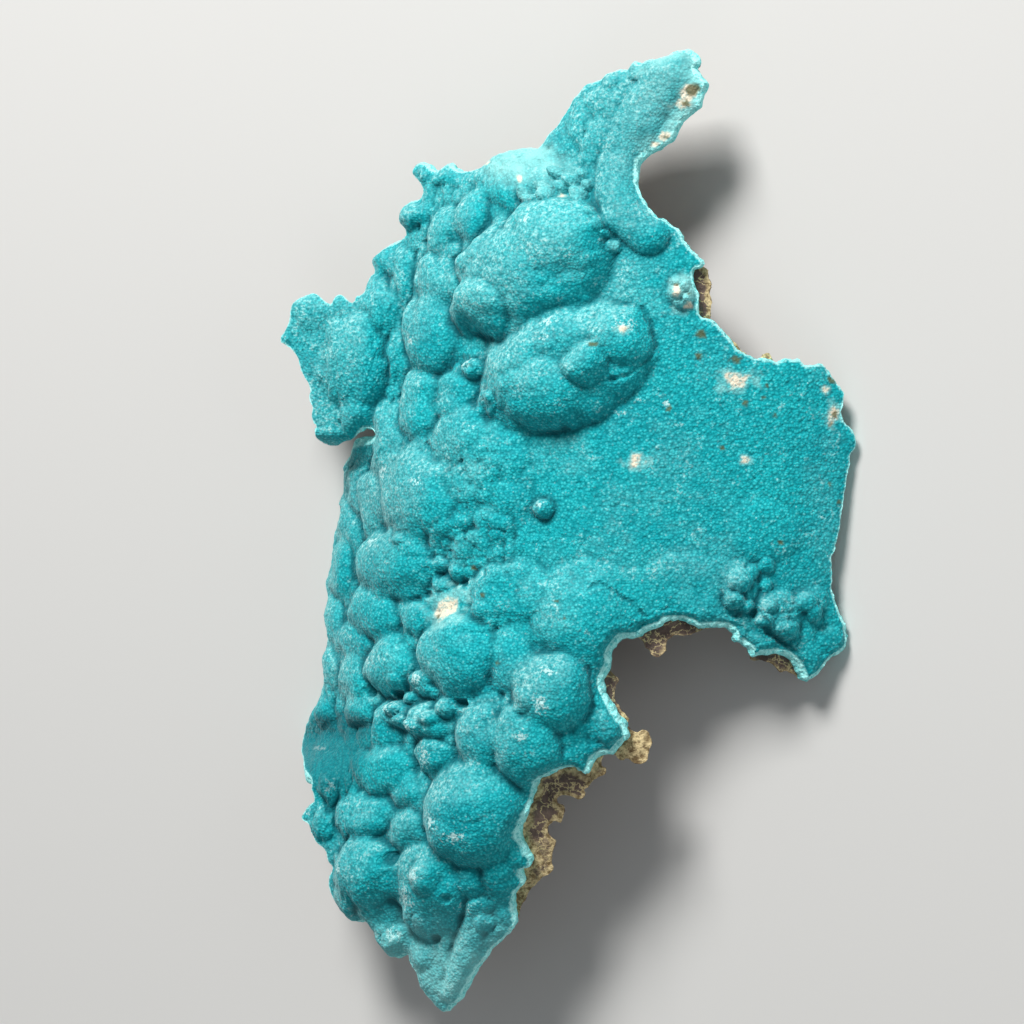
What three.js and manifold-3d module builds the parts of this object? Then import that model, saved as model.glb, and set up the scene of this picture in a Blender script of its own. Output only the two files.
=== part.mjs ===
// A hand-sized rosasite specimen: a thin, broken piece of blue-green botryoidal crust
// on a thin rind of brown goethite, curved like a piece of bark.
//
// Units are millimetres. The piece is first described in its face frame, as somebody
// looking straight at its best side sees it: u to the right, v up, w towards the eye.
// It is then laid down on its hollow side: +Y along its length, +Z up.

import * as THREE from 'three';
import Module from 'manifold-3d';
import { mergeVertices } from 'three/addons/utils/BufferGeometryUtils.js';

const wasm = await Module();
wasm.setup();

// Driving dimensions

const EYE_DISTANCE = 450;
const CRUST_THICKNESS = 1.25;
const RIND_THICKNESS = 0.9;
const LAYER_GAP = 0.45;
const RIM_BEVEL = 0.55;
const RIND_SETBACK = 0.4;
const EDGE_FADE = 2.4;
const CAST_SHARE = 0.35;
const FRONT_SPACING = 1.72;
const BACK_SPACING = 3.1;

// Steps and limits of the working, all in millimetres but the rounds
const SLOPE_REACH = 0.4;
const PROBE = 0.05;
const EDGE_CLEARANCE = 0.62;
const LONGEST = 80;
const HALVINGS = 40;
const FILL_ROUNDS = 12;
const FAR_AWAY = 1e4;
const SAME_POINT = 1e-5;
const GROUND_SIZE = 200;
const GROUND_DEPTH = 20;

// How the piece lies on a table, resting on three places of its rim
const LEAN_ACROSS = 26.1;
const LEAN_ALONG = 0.35;
const FOOT_CUT = 1.1;

const CRUST_COLOUR = 0x1fa9ad;
const RIND_COLOUR = 0x5a4636;

// The sheet rolls away to the left in three bends. Each bend adds its slope to the left of
// the line where it lies, and those lines lean with the piece.
const BEND_LEAN = 0.125;
const BENDS = [
  { at: 12, softness: 4, slope: 0.4, stretch: 0.08 },
  { at: -1.5, softness: 3, slope: 0.6, stretch: 0.34 },
  { at: -13, softness: 2.4, slope: 1.15, stretch: 0.95 },
];
const RIGHT_CURL = { from: 33, softness: 3, slope: 0.32 };
const TOP_FALL = { from: 37, softness: 2.5, slope: 0.5, extra: 0.45, extraRange: [-10, -2] };
const TIP_FALL = { from: -36, softness: 5, slope: 0.35 };

// Three stretches of the left edge flare out again and face the eye more.
const FLARES = [
  { level: -24, slope: 0.3, from: -19, low: [5, 10], high: [26, 36] },
  { level: -20.5, slope: 0.3, from: -17, low: [-80, -70], high: [-34, -28] },
  { level: -21, slope: 0.6, from: -9, low: [26, 36], high: [70, 80] },
];
const FLARE_SOFTNESS = 1.5;

// The crust's broken edge in the face frame, from the bottom tip up its left side
const CRUST_EDGE = [
  [-8.1, -62.4], [-9.8, -61.2], [-11.4, -58.9], [-12.7, -56.2], [-14.4, -55.6], [-16, -54.5],
  [-17.2, -52], [-18.9, -51.2], [-20.6, -50.6], [-22.1, -48.7], [-22.9, -46.2], [-22.4, -44.5],
  [-23.3, -42.4], [-25, -40.3], [-26.3, -38.2], [-24.8, -36], [-25.1, -33.5], [-26.1, -31.6],
  [-26.4, -29.2], [-25.5, -26.6], [-24, -23.9], [-23.1, -20.8], [-23.1, -18], [-22.8, -15.2],
  [-22.9, -12.4], [-23, -9.4], [-22.5, -6.8], [-22, -3.9], [-21.1, -1], [-21.3, 0.9], [-20.6, 3],
  [-20.9, 6], [-20, 7.8], [-18.3, 8.4], [-16.9, 9.4], [-17.6, 10.6], [-19, 10.4], [-20.3, 9.6],
  [-21.8, 8.5], [-23.8, 8.8], [-24.7, 10.2], [-25, 12.6], [-25.3, 15.3], [-26.4, 17.8],
  [-27.6, 20.3], [-29.1, 21.7], [-27.9, 24], [-27.4, 26.2], [-24.8, 27.3], [-22.8, 26],
  [-21.4, 27.1], [-20, 26.3], [-18.5, 27.3], [-17.3, 29.7], [-16.4, 32.3], [-14.4, 33.7],
  [-13.2, 35], [-14, 36.9], [-12.5, 38.8], [-11.1, 40.2], [-12.3, 42.4], [-10.9, 43.6],
  [-9.2, 42.7], [-7.6, 43.4], [-5.6, 42.5], [-3.3, 43.2], [-1.6, 44.6], [1, 45.3], [3.3, 45.2],
  [4.9, 47.3], [6.9, 50.1], [8.7, 52.6], [11, 54], [13.3, 55.2], [15.1, 56.3], [17, 56.4],
  [19.1, 56.9], [21.2, 57.7], [22.7, 56.9], [22.8, 55.3], [23.8, 53.7], [23.3, 51.6],
  [21.8, 49.7], [20.2, 47.6], [18.1, 45.6], [16.1, 44.4], [15.5, 42], [16.3, 39.2], [18, 36.8],
  [20.4, 35.4], [21.8, 33.3], [23.7, 30.9], [22.6, 29], [23.3, 26.8], [23.5, 24.5], [25.5, 23.4],
  [27.1, 21.6], [29.1, 19.8], [31.4, 19], [33.3, 18.6], [35.4, 19.1], [38, 18.4], [39.7, 17.3],
  [41.4, 15.2], [41.1, 12.4], [43, 9.3], [42.2, 7], [41.9, 4.4], [41.3, 0.8], [40.9, -2.6],
  [39.9, -5.7], [40, -9], [41.2, -12.6], [42.2, -15.3], [41, -17.8], [38.7, -20.1],
  [36.4, -21.1], [35.4, -19.1], [33.6, -17.9], [31, -17.9], [29.8, -17.4], [27.9, -16.2],
  [26.3, -14.5], [24, -14.6], [22.3, -13.9], [20.4, -13.5], [18.6, -14.3], [16.5, -15.2],
  [14.6, -15.8], [12.7, -17], [12.1, -19.3], [11.5, -21.9], [12.6, -24], [14.2, -26.4],
  [15, -28.2], [13.1, -29.8], [11.3, -30.4], [10, -31.7], [9, -33.5], [7.6, -31.8],
  [5.2, -32.3], [3.1, -33.8], [2.3, -36.4], [0.9, -39.8], [2, -42.7], [1.4, -44.3],
  [1.5, -46.4], [0.1, -48.6], [0.1, -51.6], [-1.8, -53.9], [-3.9, -56.4], [-5.4, -58.8],
  [-7, -61],
];

// Where the brown rind sticks out past the crust: each list starts and ends at the crust's edge
const RIND_FLAPS = [
  [[23.7, 30.6], [24.6, 29.2], [24.9, 27], [24.9, 24.4]],
  [[26.7, 22.4], [28.4, 20.9], [29.4, 19.9]],
  [[36.6, -20.9], [34.6, -20.2], [33.3, -19.4], [31.6, -18.7], [30, -18]],
  [[24.2, -14.7], [22.4, -15.3], [20.2, -15.6], [19.2, -17.3], [18, -18.1], [16.9, -16.9]],
  [[12.2, -20], [13.2, -21.2], [12.8, -23.3], [14, -25.2], [14.8, -27.3], [16.8, -27.7],
    [17.3, -29.6], [16.4, -31.6], [14.4, -31.3], [12.8, -30.7], [12, -31.9], [10.6, -33.4],
    [9.2, -35], [7.4, -35.9], [6.1, -37.4], [5.4, -39.2], [4.6, -40.9], [4.8, -43.2],
    [4.3, -45.6], [2.3, -47.3], [0.8, -49.6]],
];

// Lumps of the crust: centre u and v, half width, half height, turn in degrees, rise
const LUMPS = [
  // upper left corner and pale top
  [-12.3, 37.2, 1.7, 1.7, 0, 1.1], [-8, 42, 1.8, 1.6, 0, 0.9], [-4.6, 41.6, 1.6, 1.5, 0, 0.8],
  [-5, 37, 2, 3.4, -20, 1.4], [-8.3, 35, 1.7, 3.4, -20, 1.3], [-9, 28.8, 2.4, 3.2, 0, 1.6],
  [-16, 31.3, 2.2, 2.2, 0, 1.2], [-13.2, 30, 1.5, 3.6, 0, 1.1], [1.5, 42.3, 3.8, 3.4, 0, 1.5],
  // the two great lumps and their lower left shoulders
  [3, 31, 10.3, 6.3, 35, 4.2], [-3.8, 26, 3.4, 3.4, 0, 2.9],
  [7.5, 18, 10.4, 6.2, 27, 3.8], [13.4, 22, 4.4, 4.2, 0, 3.9],
  // horn and the band that swoops down from it
  [12, 46, 2.4, 5, -35, 1], [12, 51.5, 3.4, 3, 30, 0.8], [16.5, 34.3, 3.4, 2.8, 0, 1.5],
  [12, 39.5, 2.6, 5.4, 12, 1.2], [6, 40.6, 2.6, 2, 0, 1.1],
  // flap on the left and the columns below it
  [-19.5, 18.5, 4.3, 6, 0, 2.2], [-20.2, 12.8, 2.4, 2.4, 0, 1.2], [-17, 24, 3, 3, 0, 1.7],
  [-25, 24.8, 2.6, 2.4, 0, 0.9], [-13.8, 19.5, 1.4, 3.2, 0, 1.1], [-10, 22.5, 3.3, 5, 0, 2.2],
  [-11.3, 14, 2.5, 4.6, 0, 1.7], [-7, 14.5, 2.6, 2.8, 0, 1.4], [-15.2, 8.6, 2.5, 5, 0, 1.6],
  [-16.8, 1.5, 1.9, 4.2, 0, 1.4], [-19.2, 1.5, 1.3, 5, 0, 0.9], [-11, 2, 4.4, 6, 0, 2.5],
  [-5.5, 9.8, 3.2, 3.4, 0, 1.4],
  // middle of the left side
  [-14.5, -6, 4, 4.8, 0, 2.4], [-20.7, -6, 1.5, 5, 0, 0.9], [-16.8, -12.3, 2.9, 3.4, 0, 1.8],
  [-11.8, -12.8, 2.3, 2.3, 0, 1.4], [-19.5, -15.8, 2.1, 2.8, 0, 1.2],
  [-19.2, -20.4, 1.9, 3.2, 0, 1.2], [-14.8, -19.5, 2.9, 4.1, 0, 1.9],
  [-6, -17.7, 4.5, 5, 0, 2.8], [0, -11.5, 4, 3.2, 0, 1.5], [0.2, -19, 2.9, 4, 0, 1.7],
  [-10.4, -21.3, 1.8, 1.8, 0, 1.2], [-9.8, -26.2, 2.4, 2.3, 0, 1.6],
  [-13.5, -25.5, 1.8, 1.8, 0, 1.1], [-9.5, -30.2, 2.4, 2.2, 0, 1.5],
  [-16.7, -26, 1.8, 2.4, 0, 1.1], [-3.5, -28.5, 2.8, 4.6, 0, 2],
  // below the centre, beside the bay
  [5.5, -22.5, 4.4, 4.7, 0, 2.8], [2, -29, 3.9, 4.8, 0, 2.4], [8.5, -13, 6, 5.5, 0, 1.7],
  [15, -11, 4.6, 3.4, 0, 0.7], [22, -9.5, 6, 4, 0, 0.7], [31.5, -2.5, 4.4, 3.6, 0, 0.6],
  // right lobe
  [28.6, -9.4, 2.2, 2.8, 0, 1.2], [33.2, -12.8, 3.4, 3, 0, 1.5], [37.4, -11.6, 2, 2, 0, 0.8],
  // bottom
  [-4.8, -37.8, 5.4, 6, 0, 3.4], [-9.8, -47, 4.1, 5.8, 0, 2.5], [-17.8, -45, 4.8, 4.6, 0, 3.4],
  [-20.6, -48.3, 2.2, 2.2, 0, 1.3], [-16.5, -49.6, 2.6, 3.4, 0, 1.6],
  [-14.8, -53, 2.1, 2.1, 0, 1.1], [-11, -55, 1.9, 2, 0, 1], [-4.7, -45.8, 1.8, 2, 0, 1.1],
  [-1.3, -45, 1.8, 3, 0, 1.1], [-12.4, -39.5, 1.9, 2.6, 0, 1.3], [-13, -34.6, 1.9, 2, 0, 1.1],
  [-18.7, -37, 3.3, 3.9, 0, 2.1], [-22.6, -35, 1.7, 1.8, 0, 0.9],
  [-23.4, -39, 1.6, 2.4, 0, 0.9], [-5.6, -54, 2, 6, -20, 1.5], [-9.2, -57, 1.8, 3.6, -15, 0.9],
];

// How round a lump's shoulder is: 1 is a half ball, less is a flatter cap
const SHOULDER = 0.9;

// Ramp that is zero below zero and rises one for one above it, rounded at the foot
function ramp(x, softness) {
  return softness * Math.log1p(Math.exp(x / softness));
}

// Smooth step from 0 at low to 1 at high
function step(x, low, high) {
  return THREE.MathUtils.smoothstep(x, low, high);
}

// Depth of the bare sheet behind the plane of the page at a place of the face
function sheetDepth(u, v) {
  const across = u - BEND_LEAN * v;
  let depth = 0;
  for (const bend of BENDS) depth -= bend.slope * ramp(bend.at - across, bend.softness);
  depth -= RIGHT_CURL.slope * ramp(across - RIGHT_CURL.from, RIGHT_CURL.softness);
  const topSlope = TOP_FALL.slope + TOP_FALL.extra * step(-u, ...TOP_FALL.extraRange);
  depth -= topSlope * ramp(v - TOP_FALL.from, TOP_FALL.softness);
  depth -= TIP_FALL.slope * ramp(TIP_FALL.from - v, TIP_FALL.softness);
  for (const flare of FLARES) {
    const share = step(v, ...flare.low) * (1 - step(v, ...flare.high));
    const level = flare.level - flare.slope * (flare.from - u);
    depth += share * ramp(level - depth, FLARE_SOFTNESS);
  }
  return depth;
}

// Point of the bare sheet in space, under perspective, so that it is seen at u, v
function sheetPoint(u, v) {
  const w = sheetDepth(u, v);
  const spread = (EYE_DISTANCE - w) / EYE_DISTANCE;
  return new THREE.Vector3(u * spread, v * spread, w);
}

function sheetNormal(u, v) {
  const alongU = sheetPoint(u + SLOPE_REACH, v).sub(sheetPoint(u - SLOPE_REACH, v));
  const alongV = sheetPoint(u, v + SLOPE_REACH).sub(sheetPoint(u, v - SLOPE_REACH));
  return alongU.cross(alongV).normalize();
}

// Each lump's foot is moved against its lean, so that its top is seen where the list says.
const lumps = LUMPS.map(([u, v, width, height, turn, rise]) => {
  const normal = sheetNormal(u, v);
  const angle = THREE.MathUtils.degToRad(turn);
  return {
    u: u - 0.5 * rise * normal.x,
    v: v - 0.5 * rise * normal.y,
    width,
    height,
    cos: Math.cos(angle),
    sin: Math.sin(angle),
    rise,
  };
});

// Height of the lumps above the bare sheet: the highest of the round caps, with a crease
// where two of them meet
function lumpHeight(u, v) {
  let highest = 0;
  for (const lump of lumps) {
    const right = (u - lump.u) * lump.cos + (v - lump.v) * lump.sin;
    const up = (v - lump.v) * lump.cos - (u - lump.u) * lump.sin;
    const far = (right / lump.width) ** 2 + (up / lump.height) ** 2;
    if (far >= 1) continue;
    const foot = Math.sqrt(1 - SHOULDER);
    const height = (lump.rise * (Math.sqrt(1 - SHOULDER * far) - foot)) / (1 - foot);
    highest = Math.max(highest, height);
  }
  return highest;
}

// Sheet coordinate that runs along the curve of the sheet, so that steep places get as
// many points as flat ones
function stretched(u, v) {
  const across = u - BEND_LEAN * v;
  let length = across;
  for (const bend of BENDS) length -= bend.stretch * ramp(bend.at - across, bend.softness);
  return length;
}

// The u at which the sheet coordinate has a given value, by halving an interval
function unstretched(length, v) {
  let low = -LONGEST;
  let high = LONGEST;
  for (let round = 0; round < HALVINGS; round += 1) {
    const middle = (low + high) / 2;
    if (stretched(middle, v) < length) low = middle;
    else high = middle;
  }
  return low;
}

// Distance from a point to a closed outline
function edgeDistance(point, outline) {
  let nearest = Infinity;
  for (let i = 0; i < outline.length; i += 1) {
    const a = outline[i];
    const b = outline[(i + 1) % outline.length];
    const run = [b[0] - a[0], b[1] - a[1]];
    const reach = [point[0] - a[0], point[1] - a[1]];
    const squared = run[0] ** 2 + run[1] ** 2;
    const share = THREE.MathUtils.clamp((reach[0] * run[0] + reach[1] * run[1]) / squared, 0, 1);
    nearest = Math.min(nearest, Math.hypot(reach[0] - share * run[0], reach[1] - share * run[1]));
  }
  return nearest;
}

function isInside(point, outline) {
  let inside = false;
  for (let i = 0; i < outline.length; i += 1) {
    const a = outline[i];
    const b = outline[(i + 1) % outline.length];
    if (a[1] > point[1] === b[1] > point[1]) continue;
    if (point[0] < a[0] + ((point[1] - a[1]) / (b[1] - a[1])) * (b[0] - a[0])) inside = !inside;
  }
  return inside;
}

// Unit vector that points into the outline at one of its corners
function inward(outline, i) {
  const before = outline[(i + outline.length - 1) % outline.length];
  const after = outline[(i + 1) % outline.length];
  const run = new THREE.Vector2(after[0] - before[0], after[1] - before[1]).normalize();
  const side = [run.y, -run.x];
  const probe = [outline[i][0] + PROBE * side[0], outline[i][1] + PROBE * side[1]];
  return isInside(probe, outline) ? side : [-side[0], -side[1]];
}

// Rows of points, each row shifted by half a space, that stay clear of the outline
function lattice(outline, spacing) {
  const rowHeight = spacing * Math.sqrt(0.75);
  const lows = [0, 1].map((k) => Math.min(...outline.map((p) => p[k])));
  const highs = [0, 1].map((k) => Math.max(...outline.map((p) => p[k])));
  const points = [];
  for (let row = Math.ceil(lows[1] / rowHeight); row * rowHeight < highs[1]; row += 1) {
    const shift = row % 2 === 0 ? 0 : spacing / 2;
    for (let column = Math.floor(lows[0] / spacing); column * spacing < highs[0]; column += 1) {
      const point = [column * spacing + shift, row * rowHeight];
      const isClear = edgeDistance(point, outline) > EDGE_CLEARANCE * spacing;
      if (isClear && isInside(point, outline)) points.push(point);
    }
  }
  return points;
}

// Delaunay triangles of a set of points, by adding them one at a time
function triangulate(points) {
  const all = [...points, [-FAR_AWAY, -FAR_AWAY], [FAR_AWAY, -FAR_AWAY], [0, FAR_AWAY]];
  const circle = (a, b, c) => {
    const [ax, ay] = all[a];
    const [bx, by] = [all[b][0] - ax, all[b][1] - ay];
    const [cx, cy] = [all[c][0] - ax, all[c][1] - ay];
    const twice = 2 * (bx * cy - by * cx);
    const x = (cy * (bx * bx + by * by) - by * (cx * cx + cy * cy)) / twice;
    const y = (bx * (cx * cx + cy * cy) - cx * (bx * bx + by * by)) / twice;
    return { corners: [a, b, c], x: ax + x, y: ay + y, squared: x * x + y * y };
  };
  let triangles = [circle(points.length, points.length + 1, points.length + 2)];
  points.forEach(([x, y], index) => {
    const rim = new Map();
    const kept = [];
    for (const triangle of triangles) {
      if ((triangle.x - x) ** 2 + (triangle.y - y) ** 2 >= triangle.squared) {
        kept.push(triangle);
        continue;
      }
      const [a, b, c] = triangle.corners;
      for (const [from, to] of [[a, b], [b, c], [c, a]]) {
        const back = `${to},${from}`;
        if (rim.has(back)) rim.delete(back);
        else rim.set(`${from},${to}`, [from, to]);
      }
    }
    triangles = kept;
    for (const [from, to] of rim.values()) triangles.push(circle(from, to, index));
  });
  return triangles
    .map((triangle) => triangle.corners)
    .filter((corners) => Math.max(...corners) < points.length);
}

// Triangles inside an outline, and the outline's sides that no triangle has
function fill(outline, inner) {
  const points = [...outline, ...inner];
  const triangles = triangulate(points).filter(([a, b, c]) => {
    const middle = [0, 1].map((k) => (points[a][k] + points[b][k] + points[c][k]) / 3);
    return isInside(middle, outline);
  });
  const sides = new Set(triangles.flatMap(([a, b, c]) => [`${a},${b}`, `${b},${c}`, `${c},${a}`]));
  const missing = outline
    .map((_, i) => i)
    .filter((i) => {
      const next = (i + 1) % outline.length;
      return !sides.has(`${i},${next}`) && !sides.has(`${next},${i}`);
    });
  return { points, triangles, missing };
}

// The outline with a corner added in the middle of each side that a filling misses
function refined(outline, spacings) {
  let loop = outline;
  for (let round = 0; round < FILL_ROUNDS; round += 1) {
    const fillings = spacings.map((spacing) => fill(loop, lattice(loop, spacing)));
    const missing = new Set(fillings.flatMap((filling) => filling.missing));
    if (missing.size === 0) return loop;
    loop = loop.flatMap((corner, i) => {
      const next = loop[(i + 1) % loop.length];
      const middle = [(corner[0] + next[0]) / 2, (corner[1] + next[1]) / 2];
      return missing.has(i) ? [corner, middle] : [corner];
    });
  }
  throw new Error('the outline cannot be filled');
}

// A closed sheet: a front and a back surface over the same outline, joined by a wall.
// front and back turn a place u, v, its distance from the edge and its inward direction
// into a point in space.
function sheetGeometry(edge, front, back, frontSpacing, backSpacing) {
  const flat = edge.map(([u, v]) => [stretched(u, v), v]);
  const outline = refined(flat, [frontSpacing, backSpacing]);
  const seen = outline.map(([length, v]) => [unstretched(length, v), v]);
  const ways = seen.map((_, i) => inward(seen, i));
  const positions = [];
  const index = [];

  const addSurface = (spacing, place, facesEye) => {
    const { points, triangles } = fill(outline, lattice(outline, spacing));
    const first = positions.length / 3;
    points.forEach(([length, v], i) => {
      const u = unstretched(length, v);
      const onEdge = i < outline.length;
      const distance = onEdge ? 0 : edgeDistance([u, v], seen);
      positions.push(...place(u, v, distance, onEdge ? ways[i] : [0, 0]).toArray());
    });
    for (const [a, b, c] of triangles) {
      const [p, q, r] = [points[a], points[b], points[c]];
      const turnsLeft = (q[0] - p[0]) * (r[1] - p[1]) - (q[1] - p[1]) * (r[0] - p[0]) > 0;
      const corners = turnsLeft === facesEye ? [a, b, c] : [a, c, b];
      index.push(...corners.map((corner) => corner + first));
    }
    return first;
  };

  const frontFirst = addSurface(frontSpacing, front, true);
  const backFirst = addSurface(backSpacing, back, false);
  const area = THREE.ShapeUtils.area(seen.map(([u, v]) => new THREE.Vector2(u, v)));
  for (let i = 0; i < outline.length; i += 1) {
    const next = (i + 1) % outline.length;
    const [from, to] = area > 0 ? [i, next] : [next, i];
    index.push(frontFirst + from, backFirst + from, backFirst + to);
    index.push(frontFirst + from, backFirst + to, frontFirst + to);
  }

  const geometry = new THREE.BufferGeometry();
  geometry.setAttribute('position', new THREE.Float32BufferAttribute(positions, 3));
  geometry.setIndex(index);
  return geometry;
}

// A point at a height above or below the bare sheet, moved inward on the edge by setback
function raised(u, v, height, way, setback) {
  const u1 = u + way[0] * setback;
  const v1 = v + way[1] * setback;
  return sheetPoint(u1, v1).addScaledVector(sheetNormal(u1, v1), height);
}

// The lumps sink to nothing at the broken edge
function fadedLumps(u, v, distance) {
  return lumpHeight(u, v) * step(distance, 0, EDGE_FADE);
}

const castTop = -CRUST_THICKNESS;
const rindTop = castTop - LAYER_GAP;
const rindBottom = rindTop - RIND_THICKNESS;

const crustFront = (u, v, distance, way) =>
  raised(u, v, fadedLumps(u, v, distance), way, RIM_BEVEL);
const crustBack = (u, v, distance, way) =>
  raised(u, v, castTop + CAST_SHARE * fadedLumps(u, v, distance), way, 0);
const rindFront = (u, v, distance, way) =>
  raised(u, v, rindTop + CAST_SHARE * fadedLumps(u, v, distance), way, 0);
const rindBack = (u, v, distance, way) =>
  raised(u, v, rindBottom + CAST_SHARE * fadedLumps(u, v, distance), way, 0);

// The rind's outline: the crust's, set back a little, with the flaps put in between their ends
function rindEdge() {
  const loop = CRUST_EDGE.map(([u, v], i) => {
    const way = inward(CRUST_EDGE, i);
    return [u + RIND_SETBACK * way[0], v + RIND_SETBACK * way[1]];
  });
  const nearest = ([u, v]) => {
    const spans = loop.map(([a, b]) => Math.hypot(a - u, b - v));
    return spans.indexOf(Math.min(...spans));
  };
  const flaps = RIND_FLAPS.map((flap) => ({
    points: flap,
    first: nearest(flap[0]),
    last: nearest(flap[flap.length - 1]),
  }));
  return loop.flatMap((corner, i) => {
    const flap = flaps.find(({ first, last }) => i >= first && i <= last);
    if (!flap) return [corner];
    return i === flap.first ? flap.points : [];
  });
}

// Laying the piece down: turn it, set it on the ground, and cut its feet flat
const lay = new THREE.Matrix4()
  .makeRotationX(THREE.MathUtils.degToRad(LEAN_ALONG))
  .multiply(new THREE.Matrix4().makeRotationY(THREE.MathUtils.degToRad(LEAN_ACROSS)));

// A closed solid from a mesh, and a mesh from a closed solid
function solidFrom(geometry) {
  const merged = mergeVertices(geometry, SAME_POINT);
  return new wasm.Manifold(
    new wasm.Mesh({
      numProp: 3,
      vertProperties: new Float32Array(merged.attributes.position.array),
      triVerts: new Uint32Array(merged.index.array),
    }),
  );
}

function geometryFrom(solid) {
  const mesh = solid.getMesh();
  const geometry = new THREE.BufferGeometry();
  geometry.setAttribute('position', new THREE.Float32BufferAttribute(mesh.vertProperties, 3));
  geometry.setIndex(Array.from(mesh.triVerts));
  return geometry;
}

const crust = sheetGeometry(CRUST_EDGE, crustFront, crustBack, FRONT_SPACING, BACK_SPACING);
const rind = sheetGeometry(rindEdge(), rindFront, rindBack, BACK_SPACING, BACK_SPACING);
for (const geometry of [crust, rind]) geometry.applyMatrix4(lay);

const box = new THREE.Box3();
for (const geometry of [crust, rind]) {
  geometry.computeBoundingBox();
  box.union(geometry.boundingBox);
}
const middle = box.getCenter(new THREE.Vector3());
for (const geometry of [crust, rind]) {
  geometry.translate(-middle.x, -middle.y, -box.min.z - FOOT_CUT);
}

const ground = new THREE.BoxGeometry(GROUND_SIZE, GROUND_SIZE, GROUND_DEPTH);
ground.translate(0, 0, -GROUND_DEPTH / 2);
ground.deleteAttribute('normal');
ground.deleteAttribute('uv');
const groundSolid = solidFrom(ground);

const specimen = new THREE.Group();

function addPiece(name, geometry, colour, roughness) {
  const cut = geometryFrom(solidFrom(geometry).subtract(groundSolid));
  cut.computeVertexNormals();
  const material = new THREE.MeshStandardMaterial({ color: colour, roughness, metalness: 0 });
  const mesh = new THREE.Mesh(cut, material);
  mesh.name = name;
  specimen.add(mesh);
}

addPiece('rosasite_crust', crust, CRUST_COLOUR, 0.85);
addPiece('goethite_rind', rind, RIND_COLOUR, 0.95);

export default specimen;
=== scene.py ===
"""A rosasite specimen: a bark-like piece of lumpy blue-green crust on a thin brown rind.

Lengths are millimetres in the face frame (u right, v up, w towards the eye) until a mesh is
made, when the piece is laid down and turned into metres.
"""
import math

import bpy
import numpy as np
from mathutils import Matrix, Vector
from mathutils.geometry import delaunay_2d_cdt


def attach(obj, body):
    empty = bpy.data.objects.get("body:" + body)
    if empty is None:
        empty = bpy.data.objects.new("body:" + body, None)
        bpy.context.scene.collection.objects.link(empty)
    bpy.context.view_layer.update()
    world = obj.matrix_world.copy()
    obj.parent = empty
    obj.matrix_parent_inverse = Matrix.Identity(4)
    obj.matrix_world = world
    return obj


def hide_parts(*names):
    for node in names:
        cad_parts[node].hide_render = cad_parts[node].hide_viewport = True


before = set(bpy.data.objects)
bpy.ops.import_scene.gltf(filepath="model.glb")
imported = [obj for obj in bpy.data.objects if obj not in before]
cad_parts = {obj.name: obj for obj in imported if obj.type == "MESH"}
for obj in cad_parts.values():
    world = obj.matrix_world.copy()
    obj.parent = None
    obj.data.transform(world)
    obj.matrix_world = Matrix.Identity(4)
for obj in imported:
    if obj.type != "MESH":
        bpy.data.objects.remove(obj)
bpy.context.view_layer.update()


# The face frame
# The specimen is known from its best side, as an eye at 450 mm sees it. It lies on its hollow
# side, so that frame leans 26 degrees across and a little along. Everything below is placed in
# it, and the camera stands at its eye.
MM = 0.001
EYE_DISTANCE = 450.0
FACE_WIDTH = 128.0
LEAN_ACROSS = math.radians(26.1)
LEAN_ALONG = math.radians(0.35)
FACE_ORIGIN = np.array([2.05, 3.013, 22.559])
TURN_ACROSS = np.array([
    [math.cos(LEAN_ACROSS), 0, math.sin(LEAN_ACROSS)],
    [0, 1, 0],
    [-math.sin(LEAN_ACROSS), 0, math.cos(LEAN_ACROSS)],
])
TURN_ALONG = np.array([
    [1, 0, 0],
    [0, math.cos(LEAN_ALONG), -math.sin(LEAN_ALONG)],
    [0, math.sin(LEAN_ALONG), math.cos(LEAN_ALONG)],
])
TURN = TURN_ALONG @ TURN_ACROSS


def laid_down(points):
    """Points of the face frame in mm, turned and moved to where the piece lies, in metres."""
    return (points @ TURN.T + FACE_ORIGIN) * MM


def worn_flat(points):
    """The same, but with what would sink into the surface below worn off level with it."""
    resting = laid_down(points)
    resting[:, 2] = np.maximum(resting[:, 2], 0.0)
    return resting


# Camera, floor and light
# A plain pale floor and soft studio light: a broad light from above the specimen's top left,
# a weaker fill from the right, and an even pale surround.
SPECIMEN_MIDDLE = np.array([0.0, 0.0, -12.0])
FLOOR_REACH = 2.0
camera_data = bpy.data.cameras.new("camera")
camera_data.lens = camera_data.sensor_width * EYE_DISTANCE / FACE_WIDTH
camera_data.clip_start = 0.01
camera = bpy.data.objects.new("camera", camera_data)
bpy.context.scene.collection.objects.link(camera)
camera.location = laid_down(np.array([0, 0, EYE_DISTANCE]))
camera.rotation_mode = "QUATERNION"
camera.rotation_quaternion = Matrix(TURN.tolist()).to_quaternion()
bpy.context.scene.camera = camera
bpy.context.scene.view_settings.view_transform = "Standard"


def soft_light(name, place, size, watts, colour):
    """A square area light at a place in the face frame, aimed at the specimen's middle."""
    data = bpy.data.lights.new(name, "AREA")
    data.shape = "SQUARE"
    data.size = size * MM
    data.energy = watts
    data.color = colour
    light = bpy.data.objects.new(name, data)
    bpy.context.scene.collection.objects.link(light)
    light.location = laid_down(np.array(place, float))
    aim = Vector(laid_down(SPECIMEN_MIDDLE)) - light.location
    light.rotation_mode = "QUATERNION"
    light.rotation_quaternion = aim.to_track_quat("-Z", "Y")


soft_light("key_light", [-260, 560, 400], 240, 7.8, (1.0, 0.985, 0.96))
soft_light("fill_light", [420, 60, 380], 420, 0.5, (0.93, 0.97, 1.0))
soft_light("low_light", [-60, -420, 420], 320, 0.25, (1.0, 0.99, 0.97))

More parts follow.
